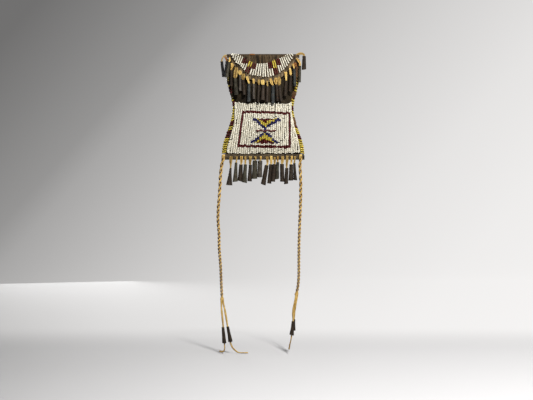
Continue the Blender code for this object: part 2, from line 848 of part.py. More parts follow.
def resting_point(x, drop, radius, knot_y):
    """Where a hanging thong or cone of that radius lies against the bag, no further back than its knot."""
    return Vector((x, min(knot_y, -cover_depth(x, drop) - REST_GAP - radius), height(drop)))


def corner_path(side, stretches, cone_length, mouth):
    """From a knot beside the flap's corner, out over any bends, and down the cone."""
    corner = flap_point(FLAP_HALF, FOLD_HEIGHT * (1 - math.cos(math.radians(CORNER_KNOT_TURN))), 0.0)
    knot = Vector((side * (FLAP_HALF + GAP + KNOT_RADIUS), corner.y, corner.z))
    path = [knot]
    for out, below in stretches:
        path.append(resting_point(knot.x + side * out, height(knot.z) + below, THROAT_RADIUS, knot.y))
    path.append(resting_point(path[-1].x, height(path[-1].z) + cone_length, mouth, knot.y))
    return path


def build_flap_drops():
    holes = [share * (FLAP_HALF - HOLE_INSET) for share, lean, thong_length, cone_length in FLAP_DROPS]
    left, right = (
        side * (FLAP_HALF + GAP + KNOT_RADIUS + stretches[-1][0])
        for side, stretches, cone_length in CORNER_DROPS
    )
    places = [left] + [hole_x + row[1] for hole_x, row in zip(holes, FLAP_DROPS)] + [right]
    knot_lift = FLAP_LEATHER / 2 + GAP + KNOT_RADIUS
    for i, (share, lean, thong_length, cone_length) in enumerate(FLAP_DROPS, start=1):
        hole_drop = (FLAP_LENGTH - HOLE_INSET) * (1 - abs(share) ** FLAP_ROUNDNESS)
        hole = flap_point(holes[i - 1], max(hole_drop, FOLD_HEIGHT), knot_lift)
        mouth = mouth_radius(places, i)
        throat_drop = height(hole.z) + thong_length
        throat = resting_point(places[i], throat_drop, THROAT_RADIUS, hole.y)
        foot = resting_point(places[i], throat_drop + cone_length, mouth, hole.y)
        build_drop(f"flap_drop_{i + 1:02d}", [hole, throat, foot], mouth)
    for i, (side, stretches, cone_length) in zip((0, len(places) - 1), CORNER_DROPS):
        mouth = mouth_radius(places, i)
        build_drop(f"flap_drop_{i + 1:02d}", corner_path(side, stretches, cone_length, mouth), mouth)


def build_hem_drops():
    hole_z = height(BAG_HEIGHT - HEM_HOLE_RISE)
    y = -HEM_FACE - GAP - KNOT_RADIUS
    places = [x + lean for x, thong_length, cone_length, lean in HEM_DROPS]
    for i, (x, thong_length, cone_length, lean) in enumerate(HEM_DROPS):
        hole = Vector((x, y, hole_z))
        throat = hole - Vector((0, 0, thong_length))
        mouth = throat + Vector((lean, 0, -cone_length))
        build_drop(f"hem_drop_{i + 1:02d}", [hole, throat, mouth], mouth_radius(places, i))


# Tails

def smooth_route(points, step):
    """Points of a smooth curve through the route's own points, a step apart."""
    route = [Vector((x, y, height(drop))) for x, y, drop in points]
    padded = [2 * route[0] - route[1]] + route + [2 * route[-1] - route[-2]]
    curve = []
    for a, b, c, d in zip(padded, padded[1:], padded[2:], padded[3:]):
        count = max(1, round((c - b).length / step))
        for i in range(count):
            t = i / count
            curve.append(
                0.5 * (2 * b + (c - a) * t + (2 * a - 5 * b + 4 * c - d) * t * t
                       + (3 * b - a - 3 * c + d) * t * t * t)
            )
    return curve + [route[-1]]


def build_cord(name, points, radii, finish):
    data = bpy.data.curves.new(name, "CURVE")
    data.dimensions = "3D"
    data.bevel_depth = 1.0
    data.bevel_resolution = CORD_BEVEL_STEPS
    data.use_fill_caps = True
    spline = data.splines.new("POLY")
    spline.points.add(len(points) - 1)
    for point, place, radius in zip(spline.points, points, radii):
        point.co = (*place, 1.0)
        point.radius = radius
    return link(name, data, finish)


def build_tail(name, route):
    """The twisted length, tapering a little, and the knot that it ends in."""
    points = smooth_route(route, CORD_STEP)
    radii = [between(TAIL_RADIUS, TAIL_FOOT_RADIUS, i / len(points)) for i in range(len(points))]
    end, along = points[-1], (points[-1] - points[-2]).normalized()
    for share, swell in KNOT_SHAPE:
        points.append(end + along * (share * KNOT_LENGTH))
        radii.append(TAIL_KNOT_RADIUS * swell)
    build_cord(name, points, radii, thong())


def build_tail_cone(name, throat_x, y, throat_drop, mouth_x):
    """A cone open at both ends, so that its strand passes through."""
    throat = Vector((throat_x, y, height(throat_drop)))
    drop = math.sqrt(TAIL_CONE_LENGTH ** 2 - (mouth_x - throat_x) ** 2)
    mouth = throat + Vector((mouth_x - throat_x, 0, -drop))
    along = (mouth - throat).normalized()
    work = bmesh.new()
    rings = [
        ring_at(work, middle, along, radius, radius)
        for middle, radius in (
            (throat, TAIL_CONE_THROAT),
            (mouth, TAIL_CONE_MOUTH),
            (mouth, TAIL_CONE_MOUTH - TIN),
            (throat, TAIL_CONE_THROAT - TIN),
        )
    ]
    skin(work, rings + rings[:1], closed=True)
    shade_round(link(name, mesh_from(work, name), tin()))


def build_tails():
    build_tail("left_tail", LEFT_TAIL_ROUTE)
    build_tail("right_tail", RIGHT_TAIL_ROUTE)
    for name, route in STRAND_ROUTES.items():
        points = smooth_route(route, STRAND_STEP)
        build_cord(name, points, [STRAND_RADIUS] * len(points), thong())
    for name, (throat_x, y, throat_drop, mouth_x) in TAIL_CONES.items():
        build_tail_cone(name, throat_x, y, throat_drop, mouth_x)


def main():
    clear_scene()
    build_back_panel()
    build_front_panel()
    build_hem_strip()
    edge = glass_beads("yellow_beads", BEAD_YELLOW)
    build_edge_beading("left_edge_beading", -1, edge)
    build_edge_beading("right_edge_beading", 1, edge)
    build_front_beadwork()
    build_flap()
    build_flap_beadwork()
    build_flap_drops()
    build_hem_drops()
    build_tails()


main()
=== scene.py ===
"""Strike-a-light bag: leather, glass beads, tin cones and thongs, dressed over the fixed frame.

Metres, +Z up, the beadwork faces -Y. A "drop" is a distance below the top of the fold.
Tables in millimetres say so, and are multiplied by MM where they are read.
"""
import functools
import json
import math
import random

import bmesh
import bpy
import numpy as np
from mathutils import Matrix, Vector


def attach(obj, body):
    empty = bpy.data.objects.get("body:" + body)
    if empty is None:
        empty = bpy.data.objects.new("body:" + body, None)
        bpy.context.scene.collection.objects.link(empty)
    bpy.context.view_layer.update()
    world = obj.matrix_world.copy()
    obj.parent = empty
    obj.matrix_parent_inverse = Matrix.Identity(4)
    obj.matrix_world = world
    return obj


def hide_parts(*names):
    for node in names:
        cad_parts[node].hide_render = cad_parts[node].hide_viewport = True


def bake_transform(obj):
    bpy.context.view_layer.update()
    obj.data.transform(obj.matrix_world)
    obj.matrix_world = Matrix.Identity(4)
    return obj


bl_info = {
    "name": "Strike-a-light bag",
    "version": (1, 0, 0),
    "blender": (4, 5, 0),
    "location": "View3D > Sidebar > Bag",
    "description": "Dresses a beaded leather belt pouch with tin-cone drops and twisted tails",
    "category": "Object",
}

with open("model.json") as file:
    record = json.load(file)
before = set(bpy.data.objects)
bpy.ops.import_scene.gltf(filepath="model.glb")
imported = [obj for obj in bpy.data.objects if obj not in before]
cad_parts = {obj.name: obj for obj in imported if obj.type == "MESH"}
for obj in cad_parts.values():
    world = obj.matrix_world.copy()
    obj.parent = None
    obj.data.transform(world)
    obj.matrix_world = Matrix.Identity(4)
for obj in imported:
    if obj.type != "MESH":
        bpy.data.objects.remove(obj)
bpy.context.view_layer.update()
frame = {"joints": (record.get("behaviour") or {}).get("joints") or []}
MM = 0.001

# The pouch's form, as in the part
GAP = 0.0003
SLIT_DROP, BAG_HEIGHT = 0.026, 0.1275
PANEL_LEATHER, FLAP_LEATHER, HEM_LEATHER = 0.0018, 0.0016, 0.0012
MOUTH_HALF, WAIST_HALF, FOOT_HALF = 0.0445, 0.0373, 0.0503
SHOULDER_DROP, WAIST_DROP, HEM_DROP = 0.028, 0.066, 0.1213
BULGE, BELLY_DROP, MOUTH_DROP, MOUTH_FULLNESS = 0.010, 0.070, 0.006, 0.65
SLIT_SPACING, SLIT_HEIGHT, SLIT_WIDTH = 0.044, 0.038, 0.0056
ROLL_WIDTH, ROLL_DEPTH = 0.0046, 0.0042
SEAM_DEPTH = 2 * PANEL_LEATHER + GAP
HEM_FACE = SEAM_DEPTH + GAP + HEM_LEATHER
FOLD_Z = SLIT_DROP - FLAP_LEATHER / 2
HINGE_Y = -PANEL_LEATHER / 2

# Flap; the shares of its sheet that are the back panel, and of the rest that bend over the fold
FLAP_HALF, FLAP_LENGTH, FLAP_ROUNDNESS = 0.0440, 0.032, 2.2
FLAP_CLEAR, FOLD_HEIGHT = 0.0009, 0.004
BACK_SHARE, FOLD_SHARE = 0.62, 0.28
MARGIN_COLOUR = (0.150, 0.108, 0.060)

# Front beadwork; the tear under the fringe pushes some strings aside
FIELD_TOP, FIELD_FOOT = 0.0585, 0.1205
PITCH_TOP, PITCH_FOOT = 0.00220, 0.00263
SHIFT_TOP, SHIFT_FOOT = 0.0046, 0.0006
STRINGS_EACH_SIDE, BORDER_STRINGS = 19, 12
BORDER_TOP, BORDER_FOOT = 0.0704, 0.1136
BORDER_WIDTH, BORDER_SKEW = 0.0029, 0.0019
GLASS_MIDDLE, DOT_STRINGS, DOT_HALF = 0.0937, (-4, 5), 0.0009
BEAD_SEAT, BEAD_LAYER, SIDE_BEAD = 0.0001, 0.0021, 0.00116
TORN_STRINGS, TEAR = {4: -1, 5: 1, 3: -0.4, 6: 0.4}, 0.00042
LEFT_DIP, LEFT_DIP_START, LEFT_DIP_WIDTH = 0.0018, -0.031, 0.012

# The hourglass, string by string: where blue, yellow and red start and end, in beads from the middle
UPPER_GLASS = {
    -6: (7.8, 9.8, 9.8, 9.8), -5: (7.4, 10.0, 10.0, 10.0), -4: (6.4, 8.7, 9.9, 9.9),
    -3: (4.6, 7.2, 8.8, 9.7), -2: (3.4, 5.4, 8.2, 9.7), -1: (1.9, 4.2, 6.7, 9.7), 0: (0.5, 2.8, 6.0, 9.7),
    1: (2.6, 4.7, 7.5, 9.7), 2: (2.9, 5.4, 8.6, 9.7), 3: (4.7, 7.0, 8.9, 9.7), 4: (5.1, 7.7, 9.3, 9.3),
    5: (5.9, 9.1, 9.9, 9.9), 6: (7.0, 10.0, 10.0, 10.0), 7: (7.6, 9.2, 9.2, 9.2),
}
LOWER_GLASS = {
    -6: (7.9, 9.5, 9.5, 9.5), -5: (7.4, 9.6, 9.6, 9.6), -4: (5.7, 8.3, 9.8, 9.8),
    -3: (4.2, 6.8, 9.0, 9.9), -2: (2.5, 5.3, 7.8, 9.8), -1: (1.3, 3.6, 6.9, 9.8), 0: (0.5, 2.1, 5.7, 9.8),
    1: (1.5, 3.7, 6.8, 9.7), 2: (2.4, 4.6, 7.2, 9.7), 3: (3.3, 5.5, 8.0, 9.8), 4: (5.4, 8.0, 9.0, 10.0),
    5: (7.0, 9.3, 9.3, 9.3), 6: (8.4, 10.1, 10.1, 10.1),
}

# The flap band's strings at stations round the flap, in millimetres: inner end x and drop, outer end x and drop
BAND_STRINGS = 32
BAND_BEAD_INNER, BAND_BEAD_OUTER = 0.00080, 0.00094
BAND_STATIONS = (
    (-38.6, 0.8, -40.2, 1.4), (-33.6, 0.9, -35.2, 6.0), (-28.6, 2.2, -31.8, 11.6), (-24.0, 4.4, -28.2, 14.8),
    (-18.0, 8.2, -23.2, 20.8), (-13.2, 10.2, -18.6, 24.8), (-9.2, 12.1, -13.2, 26.4), (-1.2, 12.6, -2.4, 28.1),
    (4.0, 12.0, 5.4, 28.4), (9.0, 10.0, 12.4, 27.1), (15.6, 7.0, 19.8, 23.4), (20.4, 5.4, 25.4, 19.4),
    (25.4, 3.6, 29.6, 13.6), (29.6, 1.8, 33.6, 7.8), (33.6, 0.9, 36.6, 3.6), (36.2, 0.8, 37.0, 1.8),
)
# Its colour patches, in millimetres: inner ends of the first and last string, top drop and foot drop
FLAP_PATCHES = (
    ("red", -22.8, -16.8, 0, 12), ("yellow", -16.8, -12.7, 0, 15.7), ("red", -16.8, -12.7, 15.7, 23.6),
    ("red", -12.7, -8.6, 0, 18.3), ("red", 6.8, 10.4, 0, 18.8), ("yellow", 10.4, 15.2, 0, 17),
    ("red", 10.4, 15.2, 17, 27), ("red", 15.2, 20, 0, 13.4),
)

# Strings wrapped round the sides: depth, beads to a string, radius and half height of a bead
WRAP_DEPTH, WRAP_BEADS, WRAP_RADIUS, WRAP_HALF_HEIGHT = 0.00130, 9, 0.00092, 0.00062
# The roll of leather in the side: its middle behind the edge, and its half depth and half width
SEAM_STEPS, SEAM_INSET, SEAM_UNDER_BEADS, SEAM_BARE = 110, 0.0029, (0.00085, 0.0022), (0.00165, 0.0028)
# Half the width of a wrapped side at some drops, in millimetres
WRAP_HALVES = {
    -1: ((56, 2.1), (63, 1.6), (72, 1.7), (77, 2.6), (84, 3.3), (100, 3.7), (118, 3.4)),
    1: ((56, 2.1), (63, 1.6), (83, 1.7), (88, 2.4), (96, 2.7), (118, 3.0)),
}
# Colours down each side from drop to drop, in millimetres; bare leather where there is none. Olive is the yellow
# beads darkened as painted shade where the sides lie in shadow
EDGE_COLOURS = {
    -1: (("olive", 21.5, 32.5), ("yellow", 35.5, 38.5), ("red", 39.5, 48.5), ("olive", 49.5, 53),
         ("yellow", 53, 56), ("red", 56, 61.5), ("yellow", 61.5, 79.3), ("red", 79.3, 85.3),
         ("yellow", 85.3, 93.8), ("red", 93.8, 99.8), ("yellow", 99.8, 119)),
    1: (("olive", 28, 34.5), ("yellow", 34.5, 46), ("red", 50.8, 55.2), ("yellow", 55.2, 62.4),
        ("red", 62.4, 67.8), ("yellow", 67.8, 78), ("red", 85.3, 87.8), ("yellow", 87.8, 96.2),
        ("red", 96.2, 102.2), ("yellow", 102.2, 119)),
}

# Drops: gap to what they rest on, thickness of their thongs, and how far these reach into the cones
REST_GAP, THONG_THICKNESS, THONG_INSIDE = 0.0004, 0.0016, 0.0032
# Cones: how far the tin is rolled, the tilt of the rim, the share of the length that a dent takes
CONE_ROLL, RIM_TILT, CONE_DENT = math.radians(400), 0.0006, 0.13

# Flap drops, in millimetres from the hole: the thong's places (side, down, width), the cone's throat
# and mouth (side, down, radius), its tin and the thong's tone
FLAP_DROPS = (
    (((-6.1, -0.9, 2.6), (-4.9, 1.1, 3.0)), (-4.1, 4.1, 1.5), (-6.4, 22.8, 1.8), "black", "rust"),
    (((-2.5, -1.9, 1.9), (-2.5, 0.8, 2.2)), (-3.2, 2.9, 1.4), (-5.7, 21.5, 2.2), "olive", "pale"),
    (((-2.3, 1.2, 2.6), (-1.8, 3.4, 3.8), (-2.5, 6.5, 2.4)), (-3.1, 9.2, 1.4), (-3.0, 28.3, 1.6), "brown", "pale"),
    (((0.0, 3.2, 3.6), (0.0, 5.8, 4.6), (-0.9, 11.1, 4.8), (-1.3, 14.4, 4.1)), (-1.3, 15.6, 1.8),
     (0.0, 35.5, 2.5), "olive", "tan"),
    (((0.0, 2.2, 3.4), (-0.1, 4.3, 4.3), (0.1, 6.1, 3.4)), (0.2, 7.1, 1.5), (0.2, 26.0, 1.7), "grey", "pale"),
    (((-0.8, 2.0, 3.4), (-1.3, 5.1, 4.8), (-1.4, 7.8, 3.4)), (-1.3, 8.9, 1.8), (0.3, 26.5, 2.3), "brown", "tan"),
    (((-2.4, 1.6, 3.1), (-1.5, 4.6, 2.9), (-0.3, 8.2, 2.2)), (-0.1, 9.9, 1.5), (-0.2, 31.8, 1.9), "blue", "pale"),
    (((-0.4, 1.9, 2.4), (-0.1, 4.8, 2.5)), (-0.1, 7.5, 1.3), (0.0, 26.4, 1.7), "grey", "pale"),
    (((0.2, 2.1, 2.6), (0.1, 5.0, 2.6)), (0.2, 7.6, 1.4), (-0.6, 28.1, 1.8), "brown", "tan"),
    (((-0.4, 1.8, 3.8), (-0.5, 4.2, 4.8), (0.0, 6.6, 3.6)), (0.2, 7.8, 1.9), (-0.4, 26.7, 3.0), "brown", "pale"),
    (((-0.8, 3.4, 1.9), (-0.6, 6.5, 2.0)), (-0.5, 9.6, 1.6), (-1.0, 28.8, 1.9), "brown", "tan"),
    (((-2.3, 2.3, 2.9), (-1.5, 5.7, 3.6), (-0.3, 8.4, 2.6)), (0.3, 9.7, 1.8), (0.4, 30.8, 2.2), "blue", "pale"),
    (((-1.1, 3.3, 3.1), (-1.6, 6.7, 4.1), (-1.1, 9.3, 2.6)), (-0.4, 10.7, 1.8), (0.6, 31.1, 1.8), "brown", "pale"),
    (((-2.3, 5.0, 2.9), (-2.4, 8.8, 4.6), (-2.3, 12.9, 3.6)), (-2.1, 14.8, 1.8), (-0.2, 33.5, 2.2), "brown", "tan"),
    (((0.1, 3.6, 3.6), (0.4, 7.5, 2.9), (0.7, 11.3, 2.2)), (0.6, 13.2, 1.6), (-0.7, 31.4, 2.4), "brown", "pale"),
    (((-0.5, 4.9, 2.3), (0.1, 8.2, 2.6), (0.3, 11.0, 2.8)), (0.4, 12.6, 1.6), (-0.6, 32.0, 2.1), "brown", "pale"),
    (((-1.0, 4.9, 2.0), (-0.1, 7.6, 2.3)), (0.2, 9.6, 1.5), (1.3, 30.6, 1.9), "blue", "pale"),
    (((1.6, 1.3, 2.9), (3.9, 4.1, 3.0), (5.2, 7.3, 2.6)), (4.9, 9.7, 1.5), (4.5, 29.6, 1.8), "olive", "pale"),
)
# How far some cones stand in front of their place, because they lie over the ones beside them
FLAP_DROP_LIFTS = {2: 0.0002, 3: 0.0034}

# Corner drops, in millimetres: the hole's number, then the same with x and drop for side and down
CORNER_DROPS = (
    (1, ((-43.9, 2.1, 1.9), (-45.6, 1.9, 2.0), (-48.0, 3.5, 1.6), (-49.6, 6.1, 1.4)), (-50.1, 9.2, 1.5),
     (-47.7, 27.8, 1.8), "black", "tan"),
    (20, ((40.6, 2.6, 3.0), (42.2, 0.9, 3.4), (44.6, -0.2, 3.2), (47.2, -0.3, 2.9), (49.3, 0.8, 2.7)),
     (49.8, 2.6, 1.9), (49.6, 18.8, 2.8), "brown", "tan"),
)

# Hem drops, as flap drops; their mouths come out wider than the table says by this factor
HEM_MOUTH_SWELL = 1.08
HEM_DROPS = (
    (((0.1, -1.2, 3.6), (-0.4, 3.9, 4.0), (-0.5, 8.2, 2.3)), (-0.6, 12.3, 1.1), (-2.3, 33.0, 3.4), "brown", "tan"),
    (((0.5, -1.0, 2.4), (0.3, 3.1, 1.7)), (-0.3, 6.0, 1.4), (-1.4, 28.9, 3.0), "olive", "tan"),
    (((0.8, -1.2, 3.1), (0.7, 3.4, 3.4), (0.6, 6.3, 2.6)), (0.1, 8.0, 2.0), (-0.9, 28.2, 3.1), "brown", "pale"),
    (((-0.1, -1.2, 2.2), (-0.1, 2.9, 2.5), (-0.2, 6.3, 2.3)), (0.0, 8.0, 1.8), (-1.2, 30.1, 2.9), "olive", "tan"),
    (((0.1, -1.0, 3.7), (-0.2, 3.4, 3.6), (-0.3, 6.7, 3.0)), (0.0, 8.4, 1.9), (-0.9, 28.2, 3.0), "brown", "tan"),
    (((0.1, -1.0, 2.6), (0.7, 1.4, 1.9)), (-0.5, 3.4, 2.7), (-0.9, 25.3, 2.9), "olive", "tan"),
    (((0.2, -1.2, 2.4), (0.6, 1.4, 2.0)), (-0.7, 3.3, 2.6), (-1.4, 23.1, 2.6), "grey", "pale"),
    (((0.1, -0.7, 3.4), (0.6, 3.6, 3.0), (0.6, 7.5, 2.0)), (-0.4, 9.0, 2.2), (-4.5, 32.2, 2.6), "brown", "tan"),
    (((0.0, -1.4, 3.1), (0.0, 3.4, 3.2), (0.1, 6.4, 2.6)), (-0.3, 7.8, 2.1), (-2.4, 31.1, 2.5), "brown", "pale"),
    (((-0.2, -0.2, 2.4), (-0.2, 3.6, 2.8), (-0.4, 6.4, 2.9)), (-0.4, 7.8, 2.0), (-2.4, 28.9, 2.3), "brown", "tan"),
    (((-0.7, -1.2, 1.9), (-0.7, 2.2, 2.3)), (-0.7, 5.3, 1.7), (-1.5, 25.5, 2.4), "olive", "pale"),
    (((-0.6, -1.2, 3.4), (-0.7, 2.9, 3.8), (-1.1, 6.0, 3.5)), (-1.3, 7.5, 2.3), (-1.0, 28.9, 2.7), "brown", "tan"),
    (((-0.2, -1.7, 2.6), (-0.4, 3.4, 3.4), (-0.8, 8.0, 2.6)), (-0.8, 12.3, 1.9), (-1.7, 31.6, 2.6), "brown", "tan"),
    (((0.0, -1.7, 2.5), (-0.5, 3.4, 2.4), (-0.7, 6.3, 2.3)), (-0.7, 8.0, 2.1), (-1.3, 27.5, 2.7), "brown", "pale"),
    (((-0.6, -1.0, 2.9), (-1.0, 2.6, 1.9)), (-1.5, 6.3, 1.3), (-0.6, 26.8, 2.5), "brown", "tan"),
)
# The hem's holes, by x in millimetres, and the dents round them: depth, half width, half height,
# height above the foot
HEM_HOLES = (-38.7, -32.3, -26.9, -21.3, -15.4, -9.4, -2.9, 4.7, 9.9, 14.4, 18.5, 24.2, 29.5, 34.8, 39.4)
HEM_DENT, HEM_DENT_HALF, HEM_DENT_HALF_HEIGHT, HEM_DENT_RISE = 0.0007, 0.0013, 0.0011, 0.0016
# The hem strip's ends, inside the left and right edges of the bag
HEM_LEFT_INSET, HEM_RIGHT_INSET = 0.0036, 0.0008

# Tails in millimetres, as x and drop from the hem to the knot, and the length of thong for half a turn
TAIL_Y, TAIL_DIAMETER, STRAND_DIAMETER = -0.0074, 0.0040, 0.0022
SLACK_HALF_TURN, TIGHT_HALF_TURN, ROOT_THICKNESS = 0.0080, 0.0042, 0.0022
TAIL_ROUTES = {
    "left_tail": (
        (-47.8, 123.4), (-48.6, 129), (-50.2, 136), (-51.4, 147), (-52.6, 167.6), (-54.3, 190), (-54.3, 204),
        (-53.2, 220), (-53, 236.6), (-51.4, 258), (-50.5, 279), (-49.8, 293.5)),
    "right_tail": (
        (45.6, 123.4), (45.2, 129), (44.8, 137), (45.6, 153), (45.5, 178), (44.8, 196), (43.8, 220),
        (43.4, 244), (43.2, 268), (42.4, 280), (41.2, 287.5)),
}
# Strands below the knots, in millimetres: x, y and drop
STRAND_ROUTES = {
    "left_tail_strand_a": (
        (-50, -8.2, 296.5), (-50.3, -8.6, 302), (-50.1, -8.8, 310), (-49.1, -9, 320), (-48.2, -9, 330),
        (-46.6, -9, 352), (-46.5, -9, 357.2), (-47.6, -9, 359.9), (-50.2, -8.8, 361), (-52.6, -8.4, 360)),
    "left_tail_strand_b": (
        (-49.2, -6.6, 296.5), (-48.2, -6.3, 302), (-46.6, -6.1, 309), (-44.6, -6, 320), (-43, -6, 330),
        (-38.9, -6, 352), (-33, -6.2, 360), (-28, -6.4, 362.2), (-18.2, -6.6, 362.2)),
    "right_tail_strand_a": (
        (40.6, -8.4, 290.5), (39.4, -8.8, 296), (37.4, -9.4, 305), (36.2, -10, 314), (36.4, -10.5, 323.6),
        (34.6, -10.6, 340), (33.8, -10.2, 346), (32.4, -9.6, 352), (31.4, -9, 358)),
    "right_tail_strand_b": (
        (41.3, -6.6, 290.5), (40.8, -6.2, 297), (39.2, -5.6, 306), (38, -4.7, 314), (37.5, -4, 322),
        (36.7, -4, 334), (36.4, -4, 340)),
}
# Tail cones, in millimetres: the throat's x, y and drop, the mouth's x, and the length
TAIL_CONES = {
    "left_tail_cone_a": (-48.4, -9, 331, -46.8, 19),
    "left_tail_cone_b": (-42.9, -6, 330.5, -39.5, 18.4),
    "right_tail_cone_a": (36.4, -10.6, 323.6, 34.6, 16.8),
    "right_tail_cone_b": (37.5, -4, 322, 36.7, 14),
}
TAIL_CONE_THROAT, TAIL_CONE_MOUTH = 0.0015, 0.0027
# Half thickness and half width of a strand; the knot's length, half sizes of its loops and of its thong
STRAND_THICK, STRAND_WIDE = 0.00100, 0.00126
KNOT_LENGTH, KNOT_ACROSS, KNOT_ALONG, KNOT_DEEP = 0.0060, 0.00054, 0.00082, 0.0008
KNOT_THICK, KNOT_WIDE = 0.00086, 0.0011

# Camera: the photograph's frame is 0.645 m wide at the bag
VIEW_WIDTH, VIEW_CENTRE = 0.645, Vector((0.0042, -0.008, -0.1513))
LENS, FILM = 85.0, 36.0

# Floor and backdrop: one sheet that bends up behind; its greys run across the picture as painted light, brighter to
# the right and lower down
FLOOR_Z, FLOOR_NEAR, FLOOR_HALF, FLOOR_RUN, BEND_START, BEND = -0.3374, -2.2, 2.6, 5.6, 1.45, 0.5
PAPER_GAIN = (0.785, 0.785, 0.79)
PAPER_PAINTED_LIGHT = (
    (0.042, 0.162), (0.127, 0.22), (0.227, 0.30), (0.267, 0.385), (0.447, 0.60), (0.522, 0.675), (0.644, 0.785),
    (0.778, 0.855), (0.958, 0.90),
)
# Lamps: place, size and power
LAMPS = {
    "key": ((0.42, -1.42, 1.08), 0.22, 44.0), "side": ((1.05, -0.90, 0.80), 0.80, 7.0),
    "rim": ((0.9, 0.35, 0.9), 0.7, 3.0), "back": ((-0.45, 1.30, -0.08), 0.6, 10.0),
}
SKY_LIGHT, SKY_SEEN = 0.035, 0.66


class BagSizes(bpy.types.PropertyGroup):
    bead_height: bpy.props.FloatProperty(
        name="Bead height", description="Length of a bead along its string",
        default=0.00150, min=0.0008, unit="LENGTH")
    bead_fill: bpy.props.FloatProperty(
        name="Bead fill", description="Width of a bead as a share of the space between strings",
        default=0.97, min=0.5, max=1.0, subtype="FACTOR")
    wrap_pitch: bpy.props.FloatProperty(
        name="Edge wrap pitch", description="Distance between the strings wrapped round the sides",
        default=0.00300, min=0.002, unit="LENGTH")
    tin: bpy.props.FloatProperty(
        name="Tin thickness", description="Wall of a tin cone", default=0.0003, min=0.0001, unit="LENGTH")
    ply: bpy.props.FloatProperty(
        name="Tail ply", description="Half width of one thong of a twisted tail",
        default=0.00122, min=0.0004, unit="LENGTH")


COLOUR = {"subtype": "COLOR", "size": 3, "min": 0.0, "max": 1.0}


class BagColours(bpy.types.PropertyGroup):
    white: bpy.props.FloatVectorProperty(
        name="White beads", description="Chalky white glass", default=(0.84, 0.785, 0.63), **COLOUR)
    red: bpy.props.FloatVectorProperty(
        name="Red beads", description="Deep red glass", default=(0.080, 0.0062, 0.0056), **COLOUR)
    yellow: bpy.props.FloatVectorProperty(
        name="Yellow beads", description="Greasy yellow glass", default=(0.62, 0.475, 0.048), **COLOUR)
    blue: bpy.props.FloatVectorProperty(
        name="Blue beads", description="Navy glass", default=(0.009, 0.007, 0.080), **COLOUR)
    leather: bpy.props.FloatVectorProperty(
        name="Leather", description="Smoked leather of the pouch", default=(0.085, 0.056, 0.031), **COLOUR)
    thong: bpy.props.FloatVectorProperty(
        name="Thongs", description="Tan thongs", default=(0.76, 0.485, 0.140), **COLOUR)
    tin: bpy.props.FloatVectorProperty(
        name="Tin", description="Dark patina of the cones", default=(0.025, 0.0175, 0.0115), **COLOUR)


def sizes():
    return bpy.context.scene.bag_sizes


def colours():
    return bpy.context.scene.bag_colours


# Form of the pouch

def clamp(value, low=0.0, high=1.0):
    return min(high, max(low, value))


def ease(share):
    share = clamp(share)
    return share * share * (3 - 2 * share)


def between(start, end, share):
    return start + (end - start) * share


def bracket(places, at):
    """The neighbours in a rising list of places with this one between them, and its share of the way."""
    i = next((i for i in range(1, len(places) - 1) if at <= places[i]), len(places) - 1)
    return i - 1, i, clamp((at - places[i - 1]) / (places[i] - places[i - 1]))


def eased(stations, at):
    """A value that changes smoothly along stations, each a place and a value."""
    before, after, share = bracket([place for place, _ in stations], at)
    return between(stations[before][1], stations[after][1], ease(share))


def runs_along(points):
    """How far each point is from the first, along them."""
    runs = [0.0]
    for first, second in zip(points, points[1:]):
        runs.append(runs[-1] + (second - first).length)
    return runs


def height(drop):
    return SLIT_DROP - drop


def half_width(drop):
    """Half the width of the whole pouch, side beading included."""
    if drop < WAIST_DROP:
        return between(MOUTH_HALF, WAIST_HALF, ease((drop - SHOULDER_DROP) / (WAIST_DROP - SHOULDER_DROP)))
    return between(WAIST_HALF, FOOT_HALF, ease((drop - WAIST_DROP) / (HEM_DROP - WAIST_DROP)))


def panel_half(drop):
    """Half the width of the leather, which fills the whole width at the hem."""
    return half_width(drop) - (ROLL_WIDTH + GAP) * (1 - ease((drop - HEM_DROP - GAP) / 0.001))


def front_depth(x, drop):
    """Depth of the front leather's outer face in front of the back face."""
    across = max(0.0, 1 - (x / (half_width(drop) - ROLL_WIDTH - GAP)) ** 2)
    if drop < BELLY_DROP:
        down = between(MOUTH_FULLNESS, 1.0, ease(drop / BELLY_DROP))
    else:
        down = max(0.0, 1 - ((drop - BELLY_DROP) / (HEM_DROP - BELLY_DROP)) ** 2)
    return SEAM_DEPTH + BULGE * across * down


def front_point(x, drop):
    return Vector((x, -front_depth(x, drop), height(drop)))


def front_frame(x, drop, step=0.0002):
    """A point of the front, the direction down it, and its outward normal."""
    down = (front_point(x, drop + step) - front_point(x, drop - step)).normalized()
    across = (front_point(x + step, drop) - front_point(x - step, drop)).normalized()
    normal = down.cross(across).normalized()
    return front_point(x, drop), down, -normal if normal.y > 0 else normal


def string_x(string, drop):
    share = (drop - FIELD_TOP) / (FIELD_FOOT - FIELD_TOP)
    return between(SHIFT_TOP, SHIFT_FOOT, share) + string * between(PITCH_TOP, PITCH_FOOT, share)


def flap_edge(x):
    share = clamp(abs(x) / FLAP_HALF)
    beyond = (0.0024 if x < 0 else 0.0030) * ease((0.040 - abs(x)) / 0.014)
    return max(FOLD_HEIGHT + GAP, FLAP_LENGTH * (1 - share ** FLAP_ROUNDNESS) + beyond)


def flap_point(x, drop, lift=0.0):
    """A point of the closed flap, from its middle surface: over the fold, then down the front."""
    depth = front_depth(x, max(drop, FOLD_HEIGHT)) + FLAP_CLEAR + FLAP_LEATHER / 2
    if drop >= FOLD_HEIGHT:
        return Vector((x, -depth - lift, FOLD_Z - drop))
    over = depth + HINGE_Y
    turn = math.acos(clamp(1 - drop / FOLD_HEIGHT, -1.0, 1.0))
    normal = Vector((0, -math.sin(turn) / over, math.cos(turn) / FOLD_HEIGHT)).normalized()
    return Vector((x, HINGE_Y - over * math.sin(turn), FOLD_Z - drop)) + lift * normal


